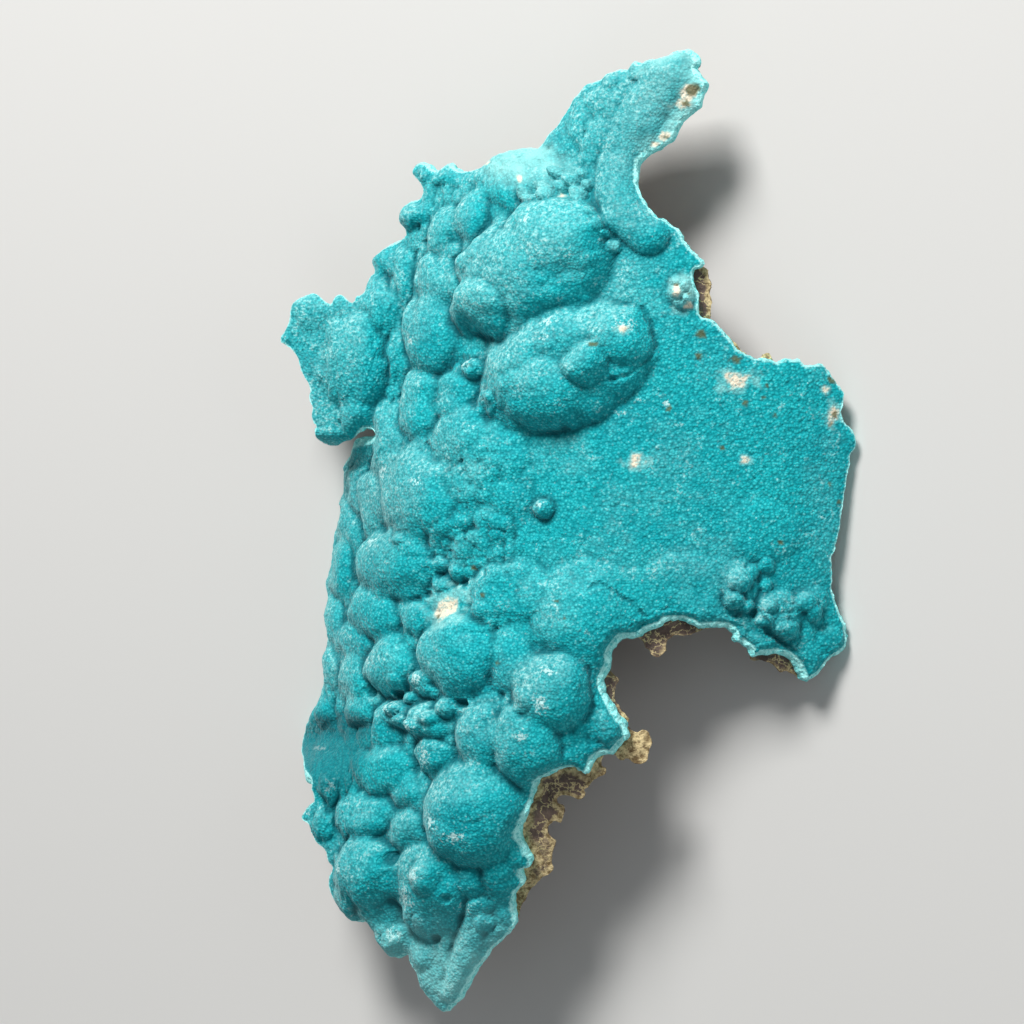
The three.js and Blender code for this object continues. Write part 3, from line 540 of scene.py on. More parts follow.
# Broken edges
# The crust snapped off along a ragged line. The rind below it broke further out in the bay and
# at the upper right, where it shows as thin brown flaps with crumbling edges.
CRUST_EDGE = [
    (-8.1, -62.4), (-8.9, -62.2), (-9.8, -61.2), (-10.8, -60.1), (-11.4, -58.9), (-11.9, -57.4),
    (-12.7, -56.2), (-12.9, -55.3), (-14.4, -55.6), (-15.2, -55.5), (-16, -54.5), (-16.9, -53.3),
    (-17.2, -52), (-17.9, -51.1), (-18.9, -51.2), (-20.2, -51.1), (-21, -50.1), (-22.1, -48.7),
    (-22.8, -47.2), (-22.9, -45.8), (-22.4, -44.5), (-22.9, -43.7), (-23.3, -42.4), (-24.4, -41.4),
    (-25, -40.3), (-25.5, -38.9), (-26.3, -38.2), (-25.4, -36.8), (-24.7, -36), (-25, -34.7),
    (-25.1, -33.5), (-26, -32.4), (-26.1, -31), (-26.4, -29.5), (-25.8, -27.2), (-25.3, -26.2),
    (-24.4, -24.7), (-23.7, -23.1), (-23.2, -21.2), (-23, -19.7), (-23.3, -18.3), (-22.9, -16.6),
    (-22.8, -15.4), (-23, -13.5), (-22.8, -11.8), (-22.9, -9.9), (-23, -8.7), (-22.6, -7.6),
    (-22.4, -5.8), (-22.1, -4.1), (-21.7, -2.2), (-21, -1), (-21, 0.3), (-21.4, 0.9), (-21, 1.7),
    (-20.6, 3), (-20.6, 4), (-20.8, 5.1), (-20.9, 6.1), (-20.2, 6.9), (-19.8, 8), (-18.6, 8.5),
    (-17.6, 8.7), (-16.9, 9.6), (-17.4, 10.4), (-18.3, 10.6), (-19, 10.2), (-19.8, 9.2),
    (-20.8, 8.8), (-21.6, 8.4), (-22.7, 8.4), (-23.8, 8.8), (-24.6, 9.6), (-24.5, 10.7),
    (-25, 11.7), (-25, 13.2), (-25.4, 14.2), (-25.2, 15.5), (-26.2, 17.3), (-26.8, 19),
    (-27.6, 20.3), (-28.7, 21.1), (-29.1, 21.7), (-28.4, 22.8), (-27.8, 24.2), (-27.7, 25.5),
    (-27.3, 26.3), (-26, 27), (-24.8, 27.3), (-23.7, 26.8), (-22.8, 26), (-22.1, 26.9),
    (-21.3, 27.1), (-20, 26.3), (-19.4, 27), (-18.5, 27.3), (-18.2, 28.4), (-17.7, 29.4),
    (-17, 29.8), (-17.2, 31.1), (-16.4, 32.3), (-15.4, 33.2), (-14.4, 33.7), (-13.3, 34.4),
    (-13.2, 35.3), (-13.8, 35.9), (-14, 36.9), (-13.5, 38), (-12.5, 38.8), (-11.4, 39.2),
    (-11.1, 40.3), (-11.6, 41.3), (-12.3, 42.2), (-12.2, 43), (-11.5, 43.6), (-10.8, 43.5),
    (-10, 42.8), (-9.1, 42.7), (-8.4, 43.2), (-7.8, 43.5), (-7.2, 43), (-6.2, 42.5), (-5, 42.6),
    (-3.3, 43.2), (-1.9, 44.5), (1, 45.3), (2.2, 45.4), (3.3, 45.2), (3.9, 46.1), (4.9, 47.3),
    (6, 48.6), (6.9, 50.1), (7.8, 51.5), (8.7, 52.6), (9.5, 53.5), (11, 54), (12, 54.8),
    (13.3, 55.2), (14.3, 55.2), (15.1, 56.3), (15.9, 55.9), (16.8, 56.4), (18.1, 56.7),
    (19.1, 56.9), (19.9, 57.3), (21.2, 57.7), (22, 57.5), (22.7, 56.9), (23.1, 56.1),
    (22.7, 55.3), (23.3, 54.4), (23.8, 53.9), (23.7, 53), (23.3, 51.9), (23.1, 50.9), (22.5, 50.3),
    (21.5, 49.5), (20.6, 48.4), (19.8, 46.9), (19.1, 46.3), (18.1, 45.6), (17, 45.1), (16.1, 44.4),
    (15.7, 43.4), (15.5, 41.9), (15.7, 40.5), (16.3, 39.2), (17.1, 38), (18, 36.8), (18.9, 36.5),
    (19.9, 35.8), (20.9, 35.1), (21.5, 33.8), (22.4, 32.7), (23.4, 31.7), (23.7, 30.9),
    (22.7, 30.3), (22.6, 29), (22.9, 27.9), (23.3, 26.8), (23.1, 25.6), (23.6, 24.4), (24.9, 23.9),
    (25.5, 23.4), (26.4, 22.5), (27.1, 21.6), (28, 20.4), (29.1, 19.8), (29.9, 19.3), (30.8, 19.1),
    (32.3, 19), (33.3, 18.6), (34.3, 19.2), (35.1, 19), (36.2, 19), (36.7, 18.3), (38.1, 18.4),
    (39, 18.3), (40, 16.9), (40.8, 15.9), (41.4, 15.2), (41.6, 14.4), (41.2, 13), (41.2, 11.7),
    (41.6, 11.1), (42.5, 10.3), (43, 9), (42.9, 8), (42.2, 7.1), (42.2, 6.1), (41.9, 4.6),
    (41.7, 3), (41.3, 0.3), (41.1, -1.6), (40.8, -3.3), (40.3, -4.7), (39.9, -6), (40, -7.4),
    (40, -9.5), (40.5, -10.8), (41.2, -12.6), (41.9, -13.9), (42.2, -15.2), (42, -16.8),
    (41, -17.8), (39.7, -18.7), (38.7, -20.1), (37.7, -20.9), (36.4, -21.1), (36, -20.2),
    (35.6, -19.3), (34.8, -18.4), (33.6, -17.9), (32.3, -17.8), (31, -17.9), (30.1, -18.2),
    (29.5, -17), (28.7, -16.4), (27.8, -16.1), (27.7, -15.2), (26.9, -14.6), (25.8, -14.4),
    (24, -14.5), (23.1, -14.5), (22.3, -13.9), (20.9, -13.5), (19.2, -13.7), (18.6, -14.3),
    (16.9, -14.9), (15.9, -15.5), (15, -15.7), (13.6, -15.9), (13, -16.5), (12.5, -17.4),
    (12.3, -18.7), (12, -19.7), (11.4, -20.9), (11.5, -22), (12, -23.2), (12.6, -24),
    (13.3, -25.3), (14.1, -26.2), (14.5, -27.2), (14.6, -28.1), (14, -28.9), (13.1, -29.8),
    (12.3, -30.5), (11.3, -30.4), (10.3, -30.9), (9.9, -31.9), (9.3, -32.8), (8.5, -32.6),
    (7.4, -31.8), (6, -32), (4.7, -32.6), (3.5, -33.2), (2.8, -34.3), (2.5, -35.8), (2, -37.2),
    (1.4, -38.5), (0.9, -39.8), (1, -41), (1.7, -42.2), (2.3, -43.2), (2.2, -44.1), (1.2, -44.6),
    (1.3, -45.6), (1.4, -46.4), (0.6, -47.2), (0.1, -48.4), (0.1, -49.7), (0.3, -51.2), (0, -52),
    (-0.8, -53.1), (-1.8, -53.9), (-2.9, -54.9), (-3.9, -56.4), (-4.8, -57.8), (-5.8, -59.5),
    (-6.4, -60.8), (-7.3, -61.4),
]
RIND_FLAPS = [
    [(23.7, 30.7), (24.3, 30.3), (24.6, 29.2), (25, 28.4), (24.7, 27.6), (25, 26.4), (24.8, 25),
     (24.8, 24)],
    [(26.7, 22.4), (27.9, 21.4), (28.8, 20.2), (29.4, 19.8)],
    [(31.2, 19.2), (31.5, 19.8), (32.3, 19.9), (32.7, 19.1)],
    [(36.6, -20.9), (35.3, -20.1), (34.6, -19.9), (34.1, -20.2), (33.5, -19.7), (32.6, -18.9),
     (31.4, -18.6), (30.1, -18.5)],
    [(24.2, -14.7), (23, -15.1), (21.5, -15.4), (20.4, -15.4), (19.6, -15.8), (19.2, -16.5),
     (19.1, -17.4), (18.3, -18.2), (17.5, -17.8), (17.2, -17.1), (16.7, -17), (16.1, -16)],
    [(12.1, -19.9), (13.2, -21), (12.7, -22), (12.7, -23.6), (13.4, -24.9), (14.5, -25.9),
     (14.3, -26.8), (14.9, -27.4), (15.7, -27.7), (16.7, -27.5), (17.2, -28.1), (17.5, -29.1),
     (17.1, -30.1), (16.9, -31.2), (16.1, -31.7), (15.2, -31.6), (14.4, -31), (13.4, -31.2),
     (12.6, -30.4), (11.6, -30.4), (10.9, -31.2), (11.1, -32), (11.7, -32.3), (11.4, -33.2),
     (10.2, -33.6), (9.4, -34.5), (8.8, -35), (9, -35.8), (8.1, -36.2), (7, -35.8), (6, -35.6),
     (5.2, -36), (5.4, -36.8), (6.2, -37), (6.1, -38.3), (5.8, -39.2), (4.9, -39), (4.2, -39.6),
     (4.2, -40.3), (4.6, -41.1), (5.2, -41.5), (5, -42.2), (4.6, -43.3), (4.6, -44.3),
     (4.8, -45.2), (4.2, -45.8), (3.3, -46.2), (2.2, -47.4), (1.3, -48.7), (0.7, -49.7),
     (0.3, -51)],
]
RIND_SETBACK = 0.4
EDGE_SPACING = 0.32
POINTS_PER_RUN = 12
RAGGED_WAVES = [(2.1, 0.5), (0.9, 0.35), (0.45, 0.3)]
JOIN_FADE = 2.0
INNER_CLEARANCE = 0.6
ROWS_AT_ONCE = 4000
SAME_POINT = 1e-7
BEVEL_REACH = 3


def resampled(corners, spacing):
    """The closed curve through the corners (Catmull-Rom), as points at an even spacing."""
    corners = np.array(corners, float)
    before, after, beyond = (np.roll(corners, k, axis=0) for k in (1, -1, -2))
    t = np.linspace(0, 1, POINTS_PER_RUN, endpoint=False)[None, :, None]
    p0, p1, p2, p3 = (p[:, None, :] for p in (before, corners, after, beyond))
    curve = 0.5 * (2 * p1 + (p2 - p0) * t + (2 * p0 - 5 * p1 + 4 * p2 - p3) * t ** 2
                   + (3 * p1 - p0 - 3 * p2 + p3) * t ** 3)
    curve = curve.reshape(-1, 2)
    closed = np.vstack([curve, curve[:1]])
    along = np.concatenate([[0], np.cumsum(np.linalg.norm(np.diff(closed, axis=0), axis=1))])
    places = np.arange(0, along[-1] - spacing / 2, spacing)
    return np.stack([np.interp(places, along, closed[:, k]) for k in (0, 1)], axis=-1)


def edge_ways(outline):
    """Unit vectors that point into a clockwise outline: its tangent turned to the right."""
    run = np.roll(outline, -1, axis=0) - np.roll(outline, 1, axis=0)
    run /= np.linalg.norm(run, axis=1, keepdims=True)
    return np.stack([run[:, 1], -run[:, 0]], axis=-1)


def ragged(outline, amount, seed):
    """The outline moved in and out by soft noise of three sizes along its length, and left as
    it is where its ends join."""
    places = np.arange(len(outline)) * np.linalg.norm(outline[1] - outline[0])
    still = np.zeros_like(places)
    noise = sum(waves(places, still, size, seed + size) * share
                for size, share in RAGGED_WAVES)
    fade = step(np.minimum(places, places[-1] - places), 0.0, JOIN_FADE)
    return outline + edge_ways(outline) * (amount * noise * fade)[:, None]


def rind_outline():
    """The crust's outline, set back a little, with the flaps put in between their ends."""
    corners = np.array(CRUST_EDGE, float)
    loop = corners + RIND_SETBACK * edge_ways(corners)
    spans = [[int(np.argmin(np.linalg.norm(loop - np.array(flap[end]), axis=1))) for end in (0, -1)]
             for flap in RIND_FLAPS]
    joined = []
    at = 0
    for (first, last), flap in zip(spans, RIND_FLAPS):
        joined += [tuple(corner) for corner in loop[at:first]] + flap
        at = last + 1
    return joined + [tuple(corner) for corner in loop[at:]]


def nearest_edge(points, outline):
    """Distance from each point to the nearest point of an outline, and that point's number, in
    blocks of rows."""
    gaps, numbers = [], []
    edge = outline.astype(np.float32)
    for block in np.array_split(points.astype(np.float32), max(1, len(points) // ROWS_AT_ONCE)):
        squares = ((block[:, None, :] - edge[None, :, :]) ** 2).sum(axis=2)
        gaps.append(np.sqrt(squares.min(axis=1)))
        numbers.append(squares.argmin(axis=1))
    return np.concatenate(gaps).astype(float), np.concatenate(numbers)


def filled(outline, spacing):
    """Triangles over a closed outline: its own points, then staggered rows of inner points."""
    row_height = spacing * math.sqrt(0.75)
    low = outline.min(axis=0)
    high = outline.max(axis=0)
    row_count = int((high[1] - low[1]) / row_height) + 1
    column_count = int((high[0] - low[0]) / spacing) + 1
    rows, columns = np.mgrid[0:row_count, 0:column_count]
    across = low[0] + (columns + 0.5 * (rows % 2)) * spacing
    inner = np.stack([across, low[1] + rows * row_height], axis=-1).reshape(-1, 2)
    inner = inner[nearest_edge(inner, outline)[0] > INNER_CLEARANCE * spacing]
    points = np.vstack([outline, inner])
    count = len(outline)
    ring = np.arange(count)
    sides = np.stack([ring, (ring + 1) % count], axis=-1)
    places, _, faces, _, _, _ = delaunay_2d_cdt(
        [Vector(point) for point in points.tolist()], sides.tolist(), [], 1, SAME_POINT)
    faces = np.array(faces)
    places = np.array(places)
    edges = places[faces]
    area = np.cross(edges[:, 1] - edges[:, 0], edges[:, 2] - edges[:, 0])
    faces[area < 0] = faces[area < 0][:, ::-1]
    used = np.unique(np.concatenate([ring, faces.ravel()]))
    number = np.full(len(places), -1)
    number[used] = np.arange(len(used))
    return places[used], number[faces]


def closed_sheet(corners, roughness, seed, front, back, front_spacing, back_spacing, wall):
    """A closed skin over an outline. front and back turn u, v, the distance from the edge and
    the inward way into points; wall gives the rows of points between their two edges. Gives
    the points, the triangles, their distances from the edge (less than 0 down the wall, -1 on
    the back) and the places u, v of the front."""
    seen = ragged(resampled(corners, EDGE_SPACING), roughness, seed)
    outline = np.stack([stretched(seen[:, 0], seen[:, 1]), seen[:, 1]], axis=-1)
    ways = edge_ways(seen)
    count = len(seen)
    places, faces, edge_gap, face_places = [], [], [], []
    total = 0
    for surface, spacing, faces_eye in ((front, front_spacing, True), (back, back_spacing, False)):
        flat, triangles = filled(outline, spacing)
        u = unstretched(flat[:, 0], flat[:, 1])
        v = flat[:, 1]
        distance, nearest = nearest_edge(np.stack([u, v], axis=-1), seen)
        distance[:count] = 0
        nearest[:count] = np.arange(count)
        places.append(surface(u, v, distance, ways[nearest]))
        face_places.append((u, v))
        edge_gap.append(distance if faces_eye else np.full_like(distance, -1.0))
        faces.append((triangles if faces_eye else triangles[:, ::-1]) + total)
        total += len(u)
    back_first = len(places[0])
    rings = [np.arange(count)]
    for share, row in wall(places[0][:count], places[1][:count], seen, ways):
        places.append(row)
        edge_gap.append(np.full(count, -share))
        rings.append(np.arange(count) + total)
        total += count
    rings.append(np.arange(count) + back_first)
    for upper, lower in zip(rings[:-1], rings[1:]):
        upper_next, lower_next = np.roll(upper, -1), np.roll(lower, -1)
        faces.append(np.stack([upper, upper_next, lower_next], axis=-1))
        faces.append(np.stack([upper, lower_next, lower], axis=-1))
    return np.vstack(places), np.vstack(faces), np.concatenate(edge_gap), face_places[0]


def raised(u, v, height, distance, way, bevel):
    """Points at a height over the bare sheet. A bevel moves the edge inwards by its width, and
    less and less up to a few widths further in."""
    setback = np.clip(bevel - distance / BEVEL_REACH, 0, None)
    u = u + way[:, 0] * setback
    v = v + way[:, 1] * setback
    return sheet_point(u, v) + sheet_normal(u, v) * height[:, None]


def new_piece(name, points, faces, material):
    """A mesh object at the origin with its place in its mesh."""
    mesh = bpy.data.meshes.new(name)
    mesh.from_pydata(points, [], faces.tolist())
    mesh.materials.append(material)
    piece = bpy.data.objects.new(name, mesh)
    bpy.context.scene.collection.objects.link(piece)
    return piece


def face_attribute(piece, name, values):
    """One number at each point of the mesh, 0 past the given ones, for the material to read."""
    padded = np.zeros(len(piece.data.vertices), np.float32)
    padded[:len(values)] = values
    attribute = piece.data.attributes.new(name, "FLOAT", "POINT")
    attribute.data.foreach_set("value", padded)


def wire(tree, kind, values=None, **settings):
    """A shader node with its settings. Each input is given a plain value, or a socket that is
    linked to it."""
    node = tree.nodes.new(kind)
    for key, value in settings.items():
        setattr(node, key, value)
    for key, value in (values or {}).items():
        if isinstance(value, bpy.types.NodeSocket):
            tree.links.new(value, node.inputs[key])
        else:
            node.inputs[key].default_value = value
    return node


def clouded(tree, place, scale, detail, roughness):
    """Soft noise at the places, mostly between 0.35 and 0.65."""
    values = {"Vector": place, "Scale": scale, "Detail": detail, "Roughness": roughness}
    return wire(tree, "ShaderNodeTexNoise", values).outputs["Fac"]


def ranged(tree, value, low, high, to_low, to_high):
    """A value mapped from one range to another and held within it."""
    values = {0: value, 1: low, 2: high, 3: to_low, 4: to_high}
    return wire(tree, "ShaderNodeMapRange", values).outputs["Result"]


def times(tree, first, second):
    """The product of two values."""
    values = {0: first, 1: second}
    return wire(tree, "ShaderNodeMath", values, operation="MULTIPLY").outputs["Value"]


def added(tree, first, share, second):
    """The first value times a share, plus the second."""
    values = {0: first, 1: share, 2: second}
    return wire(tree, "ShaderNodeMath", values, operation="MULTIPLY_ADD").outputs["Value"]


def mixed(tree, factor, first, second):
    """A mix of two colours, with the factor's share of the second."""
    values = {"Factor": factor, "A": first, "B": second}
    return wire(tree, "ShaderNodeMix", values, data_type="RGBA").outputs["Result"]


def marked(tree, name):
    """The number that the mesh itself holds under a name."""
    return wire(tree, "ShaderNodeAttribute", attribute_name=name).outputs["Fac"]


def raised_grain(tree, shader, heights, strength, distance):
    """Bends the shader's normals as a surface with these heights would."""
    values = {"Height": heights, "Strength": strength, "Distance": distance}
    bump = wire(tree, "ShaderNodeBump", values)
    tree.links.new(bump.outputs["Normal"], shader.inputs["Normal"])


# Rosasite crust
# A skin of tightly packed radiating needles, a little over a millimetre thick. Its outside is
# a velvet of sugary grains, and where it is broken the pale ends of the needles show.
CRUST_THICKNESS = 1.25
CRUST_RAGGED = 0.12
CRUST_FRONT_SPACING = 0.31
CRUST_BACK_SPACING = 1.1
CRUST_ROWS = (0.14, 0.28, 0.42, 0.58, 0.74, 0.88)
CRUST_BULGE = 0.1
CRUST_SPLINTERS = 0.17
CAST_SHARE = 0.35
EDGE_FADE = 2.0
BAY_BEVEL = 0.6
PLAIN_BEVEL = 0.1
RIM_WIDTH = 0.22


def bevel_width(u, v):
    """Width of the broken face where the eye looks straight at the sheet: widest in the bay."""
    bay = step(u, 6, 11) * step(v, -8, -14)
    return PLAIN_BEVEL + (BAY_BEVEL - PLAIN_BEVEL) * bay


def edge_share(u, v, distance):
    """Share of the lumps' height that is left near the broken edge: they end sharply round the
    bay and on the lower left, and sink towards the other edges."""
    bay = step(u - 0.2 * v, 2, 8) * step(v, -8, -14)
    left = step(u, -12, -16) * step(v, 10, 4)
    sharp = np.maximum(bay, left)
    return step(distance, -1.6, EDGE_FADE) * (1 - sharp) + step(distance, -1.3, 1.3) * sharp


def crust_front(u, v, distance, way):
    """The growth, less near the edge, with pebbles of three sizes and soft noise on it."""
    length = stretched(u, v)
    height = growth(u, v) * edge_share(u, v, distance)
    rough = lumpiness(u, v)
    small = (0.03 + 0.14 * rough) * pebbles(length, v, 1.9, 11) + 0.1 * pebbles(length, v, 0.9, 15)
    grain = 0.05 * pebbles(length, v, 0.6, 19) + 0.04 * waves(length, v, 0.45, 8)
    inside = step(distance, 0.0, 1.0)
    return raised(u, v, height + small * inside + grain, distance, way, bevel_width(u, v))


def crust_back(u, v, distance, way):
    """A shallow cast of the growth, one thickness below the sheet."""
    height = CAST_SHARE * growth(u, v) * step(distance, 0.0, EDGE_FADE) - CRUST_THICKNESS
    return raised(u, v, height, distance, way, 0.0)


def crust_wall(front_edge, back_edge, seen, ways):
    """Rows between the front and back edge along a quarter of an oval: out by the sine of the
    turn and down by one less its cosine, roughened by soft noise."""
    places = np.arange(len(seen)) * EDGE_SPACING
    out = np.stack([-ways[:, 0], -ways[:, 1], np.full(len(seen), 0.5)], axis=-1)
    for share in CRUST_ROWS:
        turn = share * math.pi / 2
        down = 1 - math.cos(turn)
        level = np.full(len(seen), share * 1.6)
        bulge = CRUST_BULGE * math.sin(share * math.pi)
        bulge = bulge + CRUST_SPLINTERS * waves(places, level, 0.5, 41)
        along = (back_edge - front_edge) * np.array([math.sin(turn), math.sin(turn), down])
        yield share, front_edge + along + out * bulge[:, None]


# Colours of the velvet from the painted shade of its creases and gaps to its painted highlights and
# glints, then of its broken edge.
CREASE_SHADE_TEAL = (0, 0.09, 0.115, 1)
GAP_SHADE_TEAL = (0, 0.17, 0.21, 1)
PORE_TEAL = (0, 0.19, 0.225, 1)
BODY_TEAL = (0.001, 0.38, 0.435, 1)
BODY_TURQUOISE = (0.004, 0.46, 0.505, 1)
GRAIN_TOP_HIGHLIGHT = (0.06, 0.68, 0.71, 1)
FROST_SHEEN_HAZE = (0.25, 0.60, 0.605, 1)
FROST_SPECK = (0.36, 0.80, 0.80, 1)
PAINTED_GLINT = (0.44, 0.82, 0.81, 1)
GLINT_CLUSTER_WHITE = (0.60, 0.90, 0.89, 1)
PALE_AQUA = (0.33, 0.74, 0.72, 1)
BROKEN_FRONT = (0.45, 0.97, 0.95, 1)
BROKEN_DEPTH = (0.20, 0.82, 0.81, 1)
SPLINTER_GAP = (0.05, 0.55, 0.57, 1)
CHIP_CREAM = (0.84, 0.76, 0.60, 1)
SPECK_BROWN = (0.105, 0.105, 0.03, 1)


def crust_paint():
    """Blue-green velvet of fine grains: painted shade in the gaps between them, painted highlights
    on their tops, a greyer haze with whitish sparkles and painted glints where it is frosted and
    lit. Creases take painted deep teal shade, the broken rim is pale aqua, chips are cream or brown."""
    material = bpy.data.materials.new("rosasite")
    material.use_nodes = True
    tree = material.node_tree
    shader = tree.nodes["Principled BSDF"]
    place = wire(tree, "ShaderNodeTexCoord").outputs["Object"]
    cloud = clouded(tree, place, 110.0, 5.0, 0.6)
    patch = clouded(tree, place, 420.0, 3.0, 0.6)
    fine = clouded(tree, place, 1900.0, 4.0, 0.75)
    cells = {"Vector": place, "Scale": 2700.0, "Randomness": 1.0}
    grain = wire(tree, "ShaderNodeTexVoronoi", cells, feature="F1")
    from_top = grain.outputs["Distance"]
    number = wire(tree, "ShaderNodeSeparateColor", {"Color": grain.outputs["Color"]})
    frost_and_highlight = marked(tree, "frost_and_highlight")

    body = mixed(tree, ranged(tree, cloud, 0.35, 0.65, 0, 1), BODY_TEAL, BODY_TURQUOISE)
    # Painted shade in the gaps between grains and painted highlights on their tops.
    gap_shaded = mixed(tree, ranged(tree, from_top, 0.4, 0.8, 0, 0.5), body, GAP_SHADE_TEAL)
    pored = mixed(tree, ranged(tree, fine, 0.36, 0.5, 0.6, 0), gap_shaded, PORE_TEAL)
    top = ranged(tree, from_top, 0.15, 0.6, 1, 0)
    highlighted_tops = times(tree, top, ranged(tree, number.outputs["Green"], 0.2, 1, 0, 0.85))
    lit = mixed(tree, highlighted_tops, pored, GRAIN_TOP_HIGHLIGHT)
    # Frost and painted light: a greyer haze and painted glints, strongest on the lit sides.
    haze = times(tree, ranged(tree, fine, 0.42, 0.6, 0.15, 0.75), frost_and_highlight)
    hazed = mixed(tree, haze, lit, FROST_SHEEN_HAZE)
    few_tops = times(tree, top, ranged(tree, number.outputs["Red"], 0.85, 1.0, 0, 0.3))
    specked = mixed(tree, few_tops, hazed, FROST_SPECK)
    glint_level = added(tree, frost_and_highlight, 0.22, patch)
    glints = times(tree, ranged(tree, glint_level, 0.56, 0.74, 0, 0.7),
                   ranged(tree, fine, 0.52, 0.62, 0, 1))
    glittered = mixed(tree, glints, specked, PAINTED_GLINT)
    # Painted glints in clusters of white sparkle.
    glint_cluster_level = added(tree, marked(tree, "glint_clusters"), 0.22, fine)
    glint_clustered = mixed(tree, ranged(tree, glint_cluster_level, 0.64, 0.74, 0, 0.8), glittered, GLINT_CLUSTER_WHITE)
    # Painted shade in creases, in the hollows and in the darker lower zones.
    crease_shade_share = ranged(tree, marked(tree, "crease_shade"), 0.0, 0.9, 0, 0.85)
    crease_shaded = mixed(tree, crease_shade_share, glint_clustered, CREASE_SHADE_TEAL)
    paler = mixed(tree, marked(tree, "pale_and_lit"), crease_shaded, PALE_AQUA)

    broken = mixed(tree, marked(tree, "through"), BROKEN_FRONT, BROKEN_DEPTH)
    splintered = mixed(tree, ranged(tree, fine, 0.38, 0.52, 0.8, 0), broken, SPLINTER_GAP)
    rimmed = mixed(tree, marked(tree, "rim"), paler, splintered)
    cream_share = times(tree, marked(tree, "cream"), ranged(tree, fine, 0.40, 0.5, 0.35, 1))
    creamed = mixed(tree, cream_share, rimmed, CHIP_CREAM)
    browned = mixed(tree, marked(tree, "brown"), creamed, SPECK_BROWN)
    tree.links.new(browned, shader.inputs["Base Color"])

    raised_grain(tree, shader, added(tree, from_top, -1.1, fine), 1.0, 0.0001)
    shader.inputs["Roughness"].default_value = 0.62
    shader.inputs["Specular IOR Level"].default_value = 0.12
    shader.inputs["Sheen Weight"].default_value = 0.22
    shader.inputs["Sheen Roughness"].default_value = 0.4
    shader.inputs["Sheen Tint"].default_value = (0.7, 0.96, 0.96, 1)
    return material


# Where the crust was knocked, a nodule or a flake is gone and a cream or brown spot is left:
# centre u and v, half width, half height.
CREAM_CHIPS = [
    (15.5, 6.3, 0.9, 0.7), (-7.1, -12.2, 1.4, 1.3), (27.9, 16.5, 1.7, 0.9), (20.6, 27.6, 0.7, 1.3),
    (2.2, 40.4, 0.35, 0.35), (7, 38.9, 0.25, 0.2), (40.1, 12.3, 0.8, 0.8), (39.8, 11.1, 0.5, 0.5),
    (29.2, 6.5, 0.4, 0.3), (39.1, 15.3, 0.4, 0.4), (-2.4, 43.3, 0.6, 0.4), (14.5, 22.7, 0.5, 0.4),
    (22.3, 52.3, 1, 0.9), (21.4, 50.7, 1, 0.8), (19.3, 46.8, 0.8, 0.5), (18, 45.8, 0.5, 0.3),
    (22, 25.8, 0.6, 0.5),
]
HALO_SIZE = 1.8
BROWN_SPECKS = [
    (26.3, 8, 0.3, 0.3), (19.6, 12.9, 0.3, 0.3), (23.3, 19.5, 0.4, 0.3), (11.3, 20.7, 0.5, 0.3),
    (23.8, 22.1, 0.8, 0.6), (28.1, 19, 0.8, 0.5), (29.2, 13.6, 0.3, 0.3), (32.8, 12.1, 0.3, 0.3),
    (31.5, 14.3, 0.35, 0.3), (31.8, 15.9, 0.3, 0.3), (39.6, 3.5, 0.3, 0.3), (40.8, 1.3, 0.4, 0.3),
    (33.4, -3.8, 0.4, 0.3), (7.3, -13.2, 0.3, 0.3), (6.3, -11.2, 0.35, 0.25), (-4.1, -7, 0.35, 0.3),
    (-2.3, -10.6, 0.3, 0.3), (-0.6, -18.9, 0.3, 0.3), (39.8, 16.5, 0.7, 0.5), (22.9, 52.7, 0.7, 0.7),
    (21.9, 50.9, 0.5, 0.45), (19.4, 46.8, 0.35, 0.2), (22.2, 27.2, 0.45, 0.5),
    (40.2, 12.2, 0.5, 0.45), (39.9, 11, 0.35, 0.35), (-7.9, -13.2, 0.4, 0.3),
]
SPECK_STRENGTH = 0.85

# Clusters of painted glints, white sparkles on the lumps, listed in the same way.
GLINT_CLUSTERS = [
    (-10.3, -21, 1.1, 0.9), (-14, -24.3, 0.9, 0.9), (-10.7, -27, 1.1, 0.8), (-9.4, -30.4, 0.9, 1.2),
    (-4.4, -39.6, 1.2, 0.7), (-7.4, -38, 0.8, 1), (-9, -33.9, 0.7, 0.9), (-23.6, -30.2, 1.2, 0.4),
    (-22.3, -34.3, 0.8, 0.6), (-25.2, -37.7, 0.4, 0.6), (-11.1, -47.5, 1.2, 1.4), (-9.4, -44.2, 0.8, 1),
    (2.6, -27.6, 0.8, 0.7), (4.8, -23.8, 0.9, 1.1), (5.6, -19.8, 0.9, 0.6), (-19.4, -43.9, 1, 0.8),
    (-4.9, -48.9, 0.8, 0.8), (-19.9, -18.5, 0.5, 0.8), (-16, -18.6, 0.7, 0.8), (3.9, 35.2, 0.5, 0.7),
    (5.6, 23.6, 0.8, 0.6), (5.4, 21.5, 0.5, 0.4), (14.7, 23.2, 1.1, 0.7), (-4.4, 18.6, 0.6, 0.5),
    (-10.2, 21.1, 0.6, 0.7), (-12.8, 14, 0.8, 0.7), (-5.2, 25.7, 0.5, 0.4), (13.5, 12.4, 0.7, 0.4),
    (19.3, 13.6, 0.4, 0.5), (-5.2, 37.7, 0.5, 0.4), (-13.8, -52.4, 1, 0.9), (-28.9, 21.7, 0.5, 0.4),
    (3.9, 0.8, 0.6, 0.4), (-13.6, 5, 0.9, 1.1), (-15.6, -4, 0.8, 0.9), (-9, 3.5, 0.6, 0.5),
]
GLINT_CLUSTER_FADE = (0.0, 1.9)
